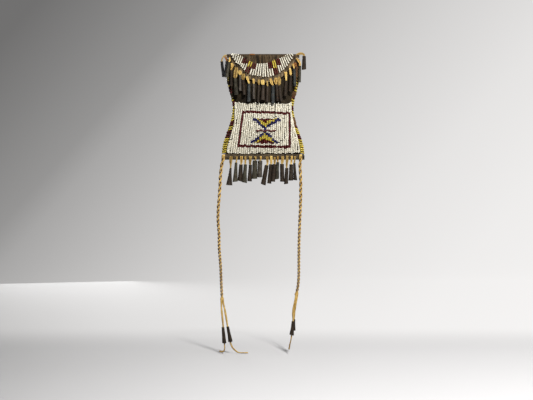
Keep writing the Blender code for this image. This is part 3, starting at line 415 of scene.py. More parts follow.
def band_string(share):
    """Inner and outer ends of a string of the band, part of the way round from the left."""
    runs = runs_along([Vector((a + c, b + d)) * MM / 2 for a, b, c, d in BAND_STATIONS])
    before, after, part = bracket(runs, share * runs[-1])
    return [between(a, b, part) * MM for a, b in zip(BAND_STATIONS[before], BAND_STATIONS[after])]


# Finishes

class Finish:
    """A material under construction: its Principled shader and the nodes that feed it."""

    def __init__(self, name, roughness, metallic=0.0, specular=0.5):
        self.material = bpy.data.materials.new(name)
        self.material.use_nodes = True
        self.tree = self.material.node_tree
        self.shader = self.tree.nodes["Principled BSDF"]
        self.set("Roughness", roughness)
        self.set("Metallic", metallic)
        self.set("Specular IOR Level", specular)

    def set(self, socket, value):
        self.shader.inputs[socket].default_value = value

    def add(self, kind, feeds=None, **settings):
        node = self.tree.nodes.new(kind)
        for key, value in settings.items():
            setattr(node, key, value)
        for socket, value in (feeds or {}).items():
            if isinstance(value, bpy.types.NodeSocket):
                self.tree.links.new(value, node.inputs[socket])
            elif node.inputs[socket].type == "RGBA":
                node.inputs[socket].default_value = (*value, 1.0)
            else:
                node.inputs[socket].default_value = value
        return node

    def feed(self, output, socket):
        self.tree.links.new(output, self.shader.inputs[socket])

    def place(self, source="Object", stretch=(1.0, 1.0, 1.0)):
        where = self.add("ShaderNodeTexCoord").outputs[source]
        return self.add("ShaderNodeMapping", {"Vector": where, "Scale": stretch}).outputs[0]

    def noise(self, where, scale, detail=3.0, rough=0.55, warp=0.0):
        return self.add("ShaderNodeTexNoise", {
            "Vector": where, "Scale": scale, "Detail": detail, "Roughness": rough, "Distortion": warp,
        }).outputs["Fac"]

    def attribute(self, name):
        return self.add("ShaderNodeAttribute", attribute_name=name).outputs["Fac"]

    def ramp(self, value, *stops):
        node = self.add("ShaderNodeValToRGB", {"Fac": value})
        marks = node.color_ramp.elements
        for i, (place, colour) in enumerate(stops):
            mark = marks[i] if i < 2 else marks.new(place)
            mark.position = place
            mark.color = (*colour, 1.0) if isinstance(colour, tuple) else (colour, colour, colour, 1.0)
        return node.outputs["Color"]

    def mix(self, share, first, second, how="MIX"):
        feeds = {0: share, 6: first, 7: second}
        return self.add("ShaderNodeMix", feeds, data_type="RGBA", blend_type=how).outputs[2]

    def times(self, first, second):
        return self.mix(1.0, first, second, "MULTIPLY")

    def sum(self, first, second, how="ADD"):
        return self.add("ShaderNodeMath", {0: first, 1: second}, operation=how).outputs[0]

    def done(self, colour, relief=None, distance=0.0, strength=1.0, roughness=None):
        """The material, with its colour and any relief and roughness fed to the shader."""
        self.feed(colour, "Base Color")
        if relief is not None:
            bump = self.add("ShaderNodeBump", {"Height": relief, "Distance": distance, "Strength": strength})
            self.feed(bump.outputs["Normal"], "Normal")
        if roughness is not None:
            self.feed(roughness, "Roughness")
        return self.material


def tint(colour, factor=1.0, shift=(0.0, 0.0, 0.0)):
    return tuple(clamp(channel * factor + move) for channel, move in zip(colour, shift))


def pouch_leather(name, base, dark=0.55, light=1.45, margin=None):
    """Smoked leather; margin is the colour towards the edge of the flap, which is also pleated, with painted shade
    in the pleats' hollows and painted highlight on their ridges.
    """
    made = Finish(name, 0.72, specular=0.11)
    where = made.place()
    broad = made.noise(where, 70, 4, 0.6, 0.4)
    fine = made.noise(where, 900, 3, 0.6)
    grain = made.add("ShaderNodeTexVoronoi", {"Vector": where, "Scale": 1500}).outputs["Distance"]
    creases = made.noise(made.place(stretch=(1.0, 1.0, 0.18)), 650, 3, 0.6, 0.6)
    shade = made.ramp(broad, (0.30, tint(base, dark)), (0.72, tint(base, light, (0.010, 0.006, 0.0))))
    worn = made.ramp(creases, (0.42, 0.0), (0.72, 0.75))
    shade = made.mix(worn, shade, tint(base, 1.9, (0.012, 0.008, 0.002)))
    relief = made.sum(made.sum(grain, 0.5, "MULTIPLY"), made.sum(creases, fine))
    if margin:
        edge = made.attribute("margin")
        pale = made.ramp(creases, (0.36, tint(margin, 0.62)), (0.66, tint(margin, 1.25)))
        shade = made.mix(made.ramp(edge, (0.62, 0.0), (0.86, 1.0)), shade, pale)
        pleat_relief_and_painted_shade = made.noise(made.place(stretch=(1.0, 0.25, 0.10)), 520, 3, 0.55, 0.8)
        folded = made.ramp(edge, (0.01, 0.0), (0.08, 1.0))
        # The pleats' colour is painted shade and painted highlight, laid over their bump
        shade = made.mix(folded, shade, made.ramp(pleat_relief_and_painted_shade, (0.40, 0.35), (0.50, 1.0), (0.60, 2.0)), "MULTIPLY")
        relief = made.sum(relief, made.sum(made.sum(pleat_relief_and_painted_shade, 2.0, "MULTIPLY"), folded, "MULTIPLY"))
    grime = made.ramp(fine, (0.30, 0.55), (0.62, 1.0))
    return made.done(made.times(shade, grime), relief, 0.00045, 0.8, made.ramp(fine, (0.3, 0.82), (0.8, 0.60)))


def bead_glass(name, base, pale, deep, roughness=0.24, shine=0.5):
    """Glass beads: each has its own tone, and a little dirt clings to it."""
    made = Finish(name, roughness, specular=shine)
    made.set("Coat Weight", 0.2 * shine)
    made.set("Coat Roughness", 0.12)
    where = made.place()
    shade = made.ramp(made.attribute("bead_tone"), (0.0, deep), (0.35, tint(base, 0.93)), (0.7, tint(base)),
                      (1.0, pale))
    dirt = made.ramp(made.noise(where, 260, 4, 0.65), (0.36, 0.80), (0.60, 1.0))
    return made.done(made.times(shade, dirt), made.noise(where, 1800, 2), 0.00006, 0.5)


def clear_glass(name, base, light, dark, roughness, shine):
    """Beads whose pale and deep tones are shares of their own colour."""
    return bead_glass(name, base, tint(base, light), tint(base, dark), roughness, shine)


def thong_leather(name, factor):
    """Tan thong: fibres run along it, painted shade from the crease attribute darkens its creases, and so its edges
    look paler.
    """
    base = tint(colours().thong, factor)
    made = Finish(name, 0.72, specular=0.12)
    fibres = made.noise(made.place("UV", (1.0, 0.10, 1.0)), 2600, 4, 0.6, 0.3)
    where = made.place()
    broad = made.noise(where, 150, 4, 0.6, 0.5)
    shade = made.ramp(broad, (0.28, tint(base, 0.42, (0.0, -0.03, -0.02))), (0.46, tint(base, 0.85)),
                      (0.74, tint(base, 1.22, (0.02, 0.06, 0.05))))
    shade = made.times(shade, made.ramp(fibres, (0.30, 0.62), (0.62, 1.0)))
    # The crease attribute is painted shade in thong creases, between plies and on one side of knots and strands; it
    # also darkens the strands' tips
    painted_shade_and_dark_tips = made.ramp(made.attribute("crease"), (0.05, 1.0), (0.90, (0.19, 0.115, 0.045)))
    return made.done(made.times(shade, painted_shade_and_dark_tips), made.sum(fibres, made.noise(where, 1200, 3)), 0.00022, 0.8)


def old_tin(name, base, cool):
    """Rolled sheet tin under a dark patina, rubbed bright on its ridges, with specks of rust."""
    made = Finish(name, 0.50, metallic=0.1, specular=0.13)
    streaks = made.noise(made.place(stretch=(1.0, 1.0, 0.22)), 1300, 4, 0.6, 0.4)
    where = made.place()
    broad = made.noise(where, 210, 4, 0.6, 0.5)
    shade = made.ramp(broad, (0.28, tint(base, 0.35)), (0.52, base), (0.78, cool))
    shade = made.mix(made.ramp(streaks, (0.52, 0.0), (0.80, 0.5)), shade, tint(cool, 1.5))
    rust = made.ramp(made.noise(where, 520, 3, 0.6), (0.60, 0.0), (0.72, 0.75))
    return made.done(made.mix(rust, shade, (0.080, 0.036, 0.014)), made.sum(streaks, broad), 0.00025, 0.6,
                     made.ramp(streaks, (0.3, 0.68), (0.75, 0.42)))


def spun_thread(name, deep, pale, roughness, specular, rough_spun=False):
    made = Finish(name, roughness, specular=specular)
    where = made.place()
    shade = made.ramp(made.noise(where, 900, 3), (0.3, deep), (0.75, pale))
    return made.done(shade, made.noise(where, 2500, 2) if rough_spun else None, 0.0001, 0.7)


FINISHES = {
    "flap_leather": lambda: pouch_leather("flap_leather", tint(colours().leather, 0.52), margin=MARGIN_COLOUR),
    # Front leather: smoked leather made darker still, as painted shade for the shadow behind the drops
    "front_leather_painted_shade": lambda: pouch_leather("front_leather_painted_shade", (0.020, 0.0145, 0.009), 0.5, 1.5),
    "hem_leather": lambda: pouch_leather("hem_strip_leather", (0.062, 0.046, 0.028), 0.5, 1.6),
    "rust": lambda: pouch_leather("rust_leather", (0.20, 0.082, 0.026), 0.5, 1.3),
    "rust_brown": lambda: pouch_leather("rust_brown_leather", (0.115, 0.058, 0.026), 0.5, 1.5),
    "white": lambda: bead_glass("white_glass", colours().white, tint(colours().white, 1.06, (0.01, 0.01, 0.02)),
                                (0.62, 0.55, 0.41)),
    "red": lambda: clear_glass("red_glass", colours().red, 1.5, 0.5, 0.36, 0.18),
    "yellow": lambda: bead_glass("yellow_glass", colours().yellow, tint(colours().yellow, 1.12),
                                 (0.36, 0.26, 0.030), 0.28, 0.4),
    # Olive glass is the yellow glass darkened as painted shade, for edge beads in shadow
    "olive": lambda: bead_glass("olive_glass", (0.150, 0.115, 0.018), (0.26, 0.21, 0.04), (0.050, 0.036, 0.010)),
    "blue": lambda: clear_glass("blue_glass", colours().blue, 1.6, 0.5, 0.34, 0.28),
    "thong": lambda: thong_leather("thong_leather", 1.0),
    "pale": lambda: thong_leather("pale_thong", 1.18),
    "tan": lambda: thong_leather("tan_thong", 0.66),
    "brown_tin": lambda: old_tin("brown_tin", tint(colours().tin), tint(colours().tin, 1.9)),
    "blue_tin": lambda: old_tin("blue_tin", (0.030, 0.033, 0.032), (0.078, 0.084, 0.080)),
    "olive_tin": lambda: old_tin("olive_tin", (0.042, 0.037, 0.025), (0.092, 0.085, 0.058)),
    "grey_tin": lambda: old_tin("grey_tin", (0.066, 0.055, 0.044), (0.140, 0.120, 0.098)),
    "black_tin": lambda: old_tin("black_tin", (0.009, 0.009, 0.009), (0.042, 0.046, 0.048)),
    # Dark thread, also used as the painted shade in the flap's corner hole
    "dark_thread_and_painted_shade": lambda: spun_thread(
        "dark_thread_and_painted_shade", (0.020, 0.014, 0.009), (0.085, 0.060, 0.036), 0.85, 0.2, rough_spun=True),
    "red_thread": lambda: spun_thread("red_thread", (0.040, 0.006, 0.006), (0.13, 0.022, 0.018), 0.7, 0.3),
}


@functools.cache
def finish(name):
    """The named material, made once."""
    return FINISHES[name]()


# Making pieces

def settle(made, body, slot, *nodes):
    """The piece moves with the body and stands for the nodes; its slot is not used."""
    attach(made, body)
    if nodes:
        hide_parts(*nodes)


def nothing_selected():
    if bpy.context.object and bpy.context.object.mode != "OBJECT":
        bpy.ops.object.mode_set(mode="OBJECT")
    bpy.ops.object.select_all(action="DESELECT")


def select_only(made):
    nothing_selected()
    made.select_set(True)
    bpy.context.view_layer.objects.active = made


def mesh_object(name, points, faces, material):
    mesh = bpy.data.meshes.new(name)
    mesh.from_pydata([tuple(point) for point in points], [], faces)
    made = bpy.data.objects.new(name, mesh)
    bpy.context.scene.collection.objects.link(made)
    mesh.materials.append(finish(material))
    return made


def taken_apart():
    """Points and faces of the primitive that was just added, which is then removed."""
    made = bpy.context.object
    points = [vertex.co.copy() for vertex in made.data.vertices]
    faces = [face.vertices[:] for face in made.data.polygons]
    bpy.data.objects.remove(made)
    return points, faces


def apply(made, kind, **settings):
    """Adds a modifier and applies it."""
    select_only(made)
    modifier = made.modifiers.new(kind.lower(), kind)
    for key, value in settings.items():
        setattr(modifier, key, value)
    bpy.ops.object.modifier_apply(modifier=modifier.name)


def smooth(made, angle):
    select_only(made)
    bpy.ops.object.shade_smooth_by_angle(angle=math.radians(angle))


def face_outwards(made):
    work = bmesh.new()
    work.from_mesh(made.data)
    bmesh.ops.recalc_face_normals(work, faces=work.faces)
    work.to_mesh(made.data)
    work.free()


def note(made, name, values):
    """Gives each point of the piece a value that its material reads."""
    made.data.attributes.new(name, "FLOAT", "POINT").data.foreach_set("value", values)


def leather_sheet(name, columns, rows, place, thickness, material, outward=(0, -1, 0), offset=-1.0):
    """A blank cut from a grid, laid over a surface, and given its thickness behind it."""
    nothing_selected()
    bpy.ops.mesh.primitive_grid_add(x_subdivisions=columns, y_subdivisions=rows, size=2)
    made = bpy.context.object
    made.name = made.data.name = name
    made.data.materials.append(finish(material))
    for vertex in made.data.vertices:
        vertex.co = place(vertex.co.x, (1 - vertex.co.y) / 2)
    made.data.update()
    facing = sum((face.normal * face.area for face in made.data.polygons), Vector())
    if facing.dot(Vector(outward)) < 0:
        made.data.flip_normals()
    apply(made, "SOLIDIFY", thickness=thickness, offset=offset, use_even_offset=True)
    smooth(made, 50)
    return made


# A bead's outline: sixths of a turn round its ring, with its reach and its height there
BEAD_RING = 0.64
BEAD_OUTLINE = {0: (1.0, 0.0), 1: (0.96, 0.76), 2: (0.62, 1.0), 3: (0.30, 0.0)}
BEAD_PLUMPNESS = 1.07


@functools.cache
def unit_bead():
    """One low bead with its hole along Z and straight sides: unit radius, unit half height."""
    nothing_selected()
    bpy.ops.mesh.primitive_torus_add(
        major_segments=8, minor_segments=6, major_radius=BEAD_RING, minor_radius=1 - BEAD_RING)
    points, faces = taken_apart()
    shaped = []
    for x, y, z in points:
        ring = math.hypot(x, y)
        reach, rise = BEAD_OUTLINE[abs(round(math.degrees(math.atan2(z, ring - BEAD_RING)) / 60))]
        shaped.append((x / ring * reach, y / ring * reach, math.copysign(rise, z)))
    return np.array(shaped), np.array(faces)


def bead_strings(name, beads, material):
    """One piece of many beads, each given as centre, string direction, radius, half height, tone."""
    unit, faces = unit_bead()
    chance = random.Random(name)
    points = []
    for centre, along, radius, half_height, _ in beads:
        lean = Vector([chance.uniform(-0.10, 0.10) for _ in range(3)])
        axis = (along + lean).normalized()
        side = Matrix.Rotation(chance.uniform(0, math.tau), 3, axis) @ axis.orthogonal().normalized()
        basis = np.array([side[:], axis.cross(side)[:], axis[:]])
        points.append((unit * (radius, radius, half_height * BEAD_PLUMPNESS)) @ basis + np.array(centre[:]))
    all_faces = np.concatenate([faces + len(unit) * i for i in range(len(points))])
    made = mesh_object(name, np.concatenate(points).tolist(), all_faces.tolist(), material)
    note(made, "bead_tone", np.repeat(np.array([bead[4] for bead in beads], dtype=np.float32), len(unit)))
    made.data.shade_smooth()
    return made


def frames_along(path):
    """Direction and two cross directions at each point of a path, without twist."""
    frames = []
    normal = Vector((0, -1, 0))
    for i in range(len(path)):
        along = (path[min(i + 1, len(path) - 1)] - path[max(i - 1, 0)]).normalized()
        if not frames and abs(along.dot(normal)) > 0.6:
            normal = Vector((0, 0, 1))
        normal = (normal - along * normal.dot(along)).normalized()
        frames.append((along, normal, along.cross(normal)))
    return frames


def sweep(path, section_at, sides):
    """Points, faces and maps of a closed tube; section_at(i, angle) gives two offsets and a darkening."""
    points, faces, maps = [], [], []
    for i, (point, run, (_, normal, across)) in enumerate(zip(path, runs_along(path), frames_along(path))):
        for k in range(sides):
            out, over, *dark = section_at(i, math.tau * k / sides)
            points.append(point + normal * out + across * over)
            maps.append((k / sides * 0.006, run, dark[0] if dark else 0.0))
    last = (len(path) - 1) * sides
    for row in range(0, last, sides):
        for k in range(sides):
            j = (k + 1) % sides
            faces.append((row + k, row + sides + k, row + sides + j, row + j))
    return points, faces + [tuple(range(sides)), tuple(reversed(range(last, last + sides)))], maps


def swept_object(name, parts, material):
    """One piece from several swept tubes, with a UV map in metres along each."""
    points, faces, maps = [], [], []
    for part_points, part_faces, part_maps in parts:
        faces += [tuple(len(points) + index for index in face) for face in part_faces]
        points += part_points
        maps += part_maps
    made = mesh_object(name, points, faces, material)
    layer = made.data.uv_layers.new(name="UVMap")
    for loop in made.data.loops:
        layer.data[loop.index].uv = maps[loop.vertex_index][:2]
    # crease: painted shade for the thong material, with the strands' darker tips
    note(made, "crease", [dark for _, _, dark in maps])
    face_outwards(made)
    made.data.shade_smooth()
    return made


def smooth_path(points, step):
    """Points of a smooth curve through the given ones, about a step apart."""
    route = [Vector(point) for point in points]
    padded = [2 * route[0] - route[1]] + route + [2 * route[-1] - route[-2]]
    curve = []
    for a, b, c, d in zip(padded, padded[1:], padded[2:], padded[3:]):
        count = max(1, round((c - b).length / step))
        for i in range(count):
            t = i / count
            curve.append(0.5 * (2 * b + (c - a) * t + (2 * a - 5 * b + 4 * c - d) * t * t
                                + (3 * b - a - 3 * c + d) * t * t * t))
    return curve + [route[-1]]


def turned(out, over, turn):
    """Two offsets, turned about the path."""
    return out * math.cos(turn) - over * math.sin(turn), out * math.sin(turn) + over * math.cos(turn)


# Leather

def flap_sheet_place(u, v):
    """Back panel from its foot up to the fold, over it, and down the flap to its curved edge."""
    if v < BACK_SHARE:
        drop = between(BAG_HEIGHT, 0.0, v / BACK_SHARE)
        half = between(panel_half(drop), FLAP_HALF, ease((0.0052 - drop) / 0.0045))
        ripple = 0.0002 * math.sin(drop * 420 + 2 * u) + 0.00015 * math.sin(drop * 1100)
        x = u * (half + ripple * (drop > 0.007) * (drop < HEM_DROP))
        return Vector((x, HINGE_Y, FOLD_Z - max(0.0, drop)))
    share = (v - BACK_SHARE) / (1 - BACK_SHARE)
    x = u * FLAP_HALF
    if share < FOLD_SHARE:
        return flap_point(x, FOLD_HEIGHT * (1 - math.cos(math.pi / 2 * share / FOLD_SHARE)))
    ragged = 0.00035 * math.sin(x * 610) + 0.00025 * math.sin(x * 1430 + 1)
    edge = flap_edge(x) + ragged * ease((flap_edge(x) - 0.006) / 0.006)
    return flap_point(x, between(FOLD_HEIGHT, edge, (share - FOLD_SHARE) / (1 - FOLD_SHARE)))


def slit_cutters():
    """Oval prisms for the belt slits."""
    count = 28
    for side in (-1, 1):
        outline = [(side * SLIT_SPACING / 2 - SLIT_WIDTH / 2 * math.sin(a), SLIT_HEIGHT / 2 * math.cos(a))
                   for a in (math.tau * i / count for i in range(count))]
        points = [(x, y, z) for y in (-0.0026, 0.004) for x, z in outline]
        faces = [tuple(range(count)), tuple(reversed(range(count, 2 * count)))]
        faces += [(i, (i + 1) % count, count + (i + 1) % count, count + i) for i in range(count)]
        cutter = mesh_object(f"slit_cutter_{side + 1}", points, faces, "flap_leather")
        face_outwards(cutter)
        yield cutter


class BAG_OT_back_and_flap(bpy.types.Operator):
    """Back panel and flap: one piece of leather that bends at the fold"""
    bl_idname = "bag.back_and_flap"
    bl_label = "Back and flap"

    def execute(self, context):
        made = leather_sheet("pouch_back_and_flap", 72, 150, flap_sheet_place, FLAP_LEATHER,
                             "flap_leather", outward=(0, 0, 1), offset=0.0)
        for cutter in slit_cutters():
            apply(made, "BOOLEAN", operation="DIFFERENCE", solver="EXACT", object=cutter)
            bpy.data.objects.remove(cutter)
        smooth(made, 50)
        places = [vertex.co for vertex in made.data.vertices]
        note(made, "margin", [(FOLD_Z - z) / flap_edge(x) if y < -SEAM_DEPTH else 0.0 for x, y, z in places])
        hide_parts("back_panel", "flap")
        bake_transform(made)
        return {"FINISHED"}


class BAG_OT_front_leather(bpy.types.Operator):
    """Front panel of the pouch"""
    bl_idname = "bag.front_leather"
    bl_label = "Front leather"

    def execute(self, context):
        def place(u, v):
            drop = between(MOUTH_DROP, BAG_HEIGHT, v)
            x = u * panel_half(drop)
            point = front_point(x, drop)
            if drop < FIELD_TOP:
                calm = ease(drop / 0.012) * ease((FIELD_TOP - drop) / 0.01)
                point.y += 0.00035 * calm * (math.sin(x * 190 + drop * 60) + 0.6 * math.sin(x * 420 - drop * 150))
            return point

        # The front panel's leather is darkened with painted shade
        made = leather_sheet("pouch_front", 64, 84, place, PANEL_LEATHER, "front_leather_painted_shade")
        settle(made, "pouch", "leather", "front_panel")
        return {"FINISHED"}


class BAG_OT_hem(bpy.types.Operator):
    """Strip of leather over the foot, with a dent round each thong"""
    bl_idname = "bag.hem"
    bl_label = "Hem strip"

    def execute(self, context):
        def place(u, v):
            drop = between(HEM_DROP + GAP, BAG_HEIGHT, v)
            x = between(HEM_LEFT_INSET - half_width(drop), half_width(drop) - HEM_RIGHT_INSET, (u + 1) / 2)
            ragged = 0.00025 * math.sin(x * 900) + 0.0002 * math.sin(x * 2100 + 2)
            relief = 0.00018 * math.sin(x * 1250 + 4 * v) - 0.0004 * math.sin(math.pi * v)
            for hole in HEM_HOLES:
                across = (x - hole * MM) / HEM_DENT_HALF
                down = (drop - BAG_HEIGHT + HEM_DENT_RISE) / HEM_DENT_HALF_HEIGHT
                relief += HEM_DENT * math.exp(-across * across - down * down)
            return Vector((x, relief - HEM_FACE, height(drop + ragged * (v > 0.9))))

        made = leather_sheet("hem_leather", 150, 10, place, HEM_LEATHER, "hem_leather")
        settle(made, "pouch", "hem_leather", "hem_strip")
        return {"FINISHED"}


# Beadwork

def hourglass_colour(string, drop):
    """Colour of a bead inside the inner field: part of the hourglass, or none."""
    table = UPPER_GLASS if drop < GLASS_MIDDLE else LOWER_GLASS
    away = abs(drop - GLASS_MIDDLE) / sizes().bead_height
    blue, yellow, red, end = table.get(string, (away + 1, 0, 0, 0))
    if string == 0 and away < blue:
        return "dot"
    if away < blue or away > end:
        return None
    return "blue" if away < yellow else "yellow" if away < red else "red"


def front_bead(string, drop):
    """Which layer a bead of the front belongs to, and its colour."""
    top, foot = (edge + string / BORDER_STRINGS * BORDER_SKEW / 2 for edge in (BORDER_TOP, BORDER_FOOT))
    if abs(string) > BORDER_STRINGS or drop < top or drop > foot:
        return "front_bead_field", "white"
    if abs(string) == BORDER_STRINGS or drop < top + BORDER_WIDTH or drop > foot - BORDER_WIDTH:
        return "border_beads", "red"
    colour = hourglass_colour(string, drop)
    half = "upper" if drop < GLASS_MIDDLE else "lower"
    if colour == "dot":
        return "inner_bead_field", "yellow"
    if colour == "blue":
        return "blue_hourglass", "blue"
    if colour == "yellow":
        return f"yellow_vee_{half}", "yellow"
    if colour == "red":
        return f"red_triangle_{half}", "red"
    if string in DOT_STRINGS and abs(drop - GLASS_MIDDLE) < DOT_HALF:
        return "inner_bead_field", "red"
    return "inner_bead_field", "white"


def strung(chance, start, end, slack=0.03):
    """Middles and heights of the beads threaded between two places, with slack here and there."""
    places = []
    at = start + chance.uniform(0.0, 0.0004)
    while True:
        bead = sizes().bead_height * chance.uniform(0.86, 1.12)
        if at + bead > end:
            return places
        places.append((at + bead / 2, bead))
        at += bead * 0.98
        if chance.random() < slack:
            at += chance.uniform(0.0004, 0.0012)


def wrap_half(side, drop):
    """Half the width of the strings wrapped round a side."""
    return eased(WRAP_HALVES[side], drop / MM) * MM


def side_string(side, drop):
    """How far from the middle the field's outermost string runs."""
    return half_width(drop) - 2 * wrap_half(side, drop) - 0.0006


class BAG_OT_front_beads(bpy.types.Operator):
    """Front beadwork: upright strings with the border and the hourglass"""
    bl_idname = "bag.front_beads"
    bl_label = "Front beadwork"

    def execute(self, context):
        chance = random.Random(11)
        layers = {}
        for string in range(-STRINGS_EACH_SIDE, STRINGS_EACH_SIDE + 1):
            sway, turn = chance.uniform(0.00006, 0.00026), chance.uniform(0, math.tau)
            start = FIELD_TOP + chance.uniform(-0.0006, 0.0008)
            start += LEFT_DIP * ease((string_x(string, FIELD_TOP) - LEFT_DIP_START) / LEFT_DIP_WIDTH)
            plump, dull = chance.uniform(0.97, 1.08), chance.uniform(-0.10, 0.10)
            for drop, bead in strung(chance, start, FIELD_FOOT + 0.0006):
                pitch = between(PITCH_TOP, PITCH_FOOT, (drop - FIELD_TOP) / (FIELD_FOOT - FIELD_TOP))
                x = string_x(string, drop) + sway * math.sin(drop * 330 + turn) + chance.gauss(0, 0.00006)
                torn = ease((drop - 0.060) / 0.004) * ease((0.080 - drop) / 0.006)
                x += TEAR * torn * TORN_STRINGS.get(string, 0)
                radius = pitch / 2 * sizes().bead_fill * plump * chance.uniform(0.95, 1.04)
                if abs(x) > side_string(1 if x > 0 else -1, drop) - 0.8 * radius:
                    continue
                node, colour = front_bead(string, drop)
                if colour == "red" and abs(string) == BORDER_STRINGS:
                    radius *= 1.10
                point, down, normal = front_frame(x, drop)
                centre = point + normal * (radius + BEAD_SEAT + chance.uniform(0, 0.00012))
                tone = clamp(chance.gauss(0.6, 0.12) + dull)
                if chance.random() < 0.04:
                    tone = chance.uniform(0.0, 0.25)
                layers.setdefault((node, colour), []).append((centre, down, radius, bead / 2, tone))
        for side in (-1, 1):
            for drop, bead in strung(chance, FIELD_TOP, FIELD_FOOT):
                radius = SIDE_BEAD * chance.uniform(0.94, 1.05)
                point, down, normal = front_frame(side * side_string(side, drop), drop)
                spread = side_string(side, drop + 0.001) - side_string(side, drop - 0.001)
                along = (down + Vector((spread * side / 0.002, 0, 0))).normalized()
                tone = clamp(chance.gauss(0.55, 0.17))
                layers["front_bead_field", "white"].append(
                    (point + normal * (radius + BEAD_SEAT), along, radius, bead / 2, tone))
        for (node, colour), beads in layers.items():
            odd = node == "inner_bead_field" and colour != "white"
            made = bead_strings(f"{colour}_dots" if odd else f"{node}_glass", beads, colour)
            settle(made, "pouch", f"{colour}_beads", node)
        return {"FINISHED"}


def band_colour(inner_x, drop):
    """Colour of a bead at this drop, on the band's string with this inner end."""
    for colour, first, last, top, foot in FLAP_PATCHES:
        if first * MM <= inner_x < last * MM and top * MM <= drop < foot * MM:
            return colour
    return "white"


class BAG_OT_flap_beads(bpy.types.Operator):
    """Band of short strings fanned round the flap"""
    bl_idname = "bag.flap_beads"
    bl_label = "Flap beadwork"

    def execute(self, context):
        chance = random.Random(23)
        found = {"white": [], "red": [], "yellow": []}
        for k in range(BAND_STRINGS):
            share = (k + chance.uniform(0.42, 0.58)) / BAND_STRINGS
            inner_x, inner_drop, outer_x, outer_drop = band_string(share)

            def at(reach, lift=FLAP_LEATHER / 2):
                return flap_point(between(inner_x, outer_x, reach), between(inner_drop, outer_drop, reach), lift)

            length = runs_along([at(i / 24) for i in range(25)])[-1]
            dull, plump = chance.uniform(-0.16, 0.16), chance.uniform(0.94, 1.06)
            for run, bead in strung(chance, -0.0004, length + 0.0005, 0.015):
                reach = clamp(run / length, 0.01, 0.99)
                down = (at(min(1.0, reach + 0.02)) - at(max(0.0, reach - 0.02))).normalized()
                face = (at(reach, 0.002) - at(reach, 0.0)).normalized()
                radius = between(BAND_BEAD_INNER, BAND_BEAD_OUTER, reach) * plump * chance.uniform(0.98, 1.03)
                tone = clamp(chance.gauss(0.6, 0.08) + dull)
                found[band_colour(inner_x, between(inner_drop, outer_drop, reach))].append(
                    (at(reach) + face * (radius + BEAD_SEAT), down, radius, bead / 2, tone))
        for colour, beads in found.items():
            made = bead_strings(f"flap_{colour}_glass", beads, colour)
            settle(made, "flap", f"{colour}_beads", "flap_beadwork")
        return {"FINISHED"}


def edge_colour(side, drop):
    for colour, start, end in EDGE_COLOURS[side]:
        if start * MM <= drop < end * MM:
            return colour
    return ""


class BAG_OT_edge_beads(bpy.types.Operator):
    """Short strings wrapped round the side seams, over a roll of leather"""
    bl_idname = "bag.edge_beads"
    bl_label = "Edge beading"

    def wrapped(self, side, chance):
        """The beads down one side, by colour."""
        found = {}
        drop = MOUTH_DROP + 0.0012
        while drop < HEM_DROP - 0.0010:
            colour = edge_colour(side, drop)
            if colour:
                slant = chance.uniform(0.0013, 0.0022)
                thick = WRAP_RADIUS * chance.uniform(0.94, 1.06)
                wide = wrap_half(side, drop) * chance.uniform(0.94, 1.08) - thick
                for i in range(WRAP_BEADS):
                    share = i / (WRAP_BEADS - 1)
                    angle = math.radians(between(212, -38, share))
                    low = drop + slant * (0.5 + 0.5 * math.cos(math.pi * share))
                    middle = side * (half_width(low) - wrap_half(side, drop))
                    out = Vector((-side * math.cos(angle) * wide, -math.sin(angle) * WRAP_DEPTH, 0))
                    ahead = Vector((side * math.sin(angle) * wide, -math.cos(angle) * WRAP_DEPTH, 0)).normalized()
                    ahead.z = 0.5 * math.sin(math.pi * share)
                    found.setdefault(colour, []).append((
                        Vector((middle, -ROLL_DEPTH / 2 - GAP, height(low))) + out, ahead.normalized(),
                        thick * chance.uniform(0.96, 1.04), WRAP_HALF_HEIGHT, clamp(chance.gauss(0.55, 0.22))))
            pitch = sizes().wrap_pitch * between(1.0, 0.83, clamp((drop - 0.09) / 0.02))
            drop += pitch * chance.uniform(0.88, 1.10)
        return found

    def execute(self, context):
        drops = [between(MOUTH_DROP, HEM_DROP - 0.0004, i / SEAM_STEPS) for i in range(SEAM_STEPS + 1)]
        # The left roll takes the front leather's painted shade, as that side is in shadow; the right roll is rust
        # brown
        for side, word, leather in ((-1, "left", "front_leather_painted_shade"), (1, "right", "rust_brown")):
            for colour, beads in self.wrapped(side, random.Random(word)).items():
                made = bead_strings(f"{word}_edge_{colour}_glass", beads, colour)
                # Olive beads are yellow beads with painted shade, so they share the yellow slot
                slot = "yellow_beads" if colour == "olive" else f"{colour}_beads"
                settle(made, "pouch", slot, f"{word}_edge_beading")
            path = [Vector((side * (half_width(drop) - SEAM_INSET), -ROLL_DEPTH / 2 - GAP, height(drop)))
                    for drop in drops]

            def section(i, angle):
                deep, wide = SEAM_UNDER_BEADS if edge_colour(side, drops[i]) else SEAM_BARE
                lump = 1 + 0.10 * math.sin(drops[i] * 1900 + 2 * angle) + 0.06 * math.sin(drops[i] * 4100)
                return math.cos(angle) * deep * lump, math.sin(angle) * wide * lump

            made = swept_object(f"{word}_seam_leather", [sweep(path, section, 12)], leather)
            settle(made, "pouch", "leather", f"{word}_edge_beading")
        return {"FINISHED"}


# Drops

@functools.cache
def tin_blank():
    """A flat blank of tin, to be rolled up past a full turn."""
    nothing_selected()
    bpy.ops.mesh.primitive_grid_add(x_subdivisions=26, y_subdivisions=9, size=2)
    return taken_apart()


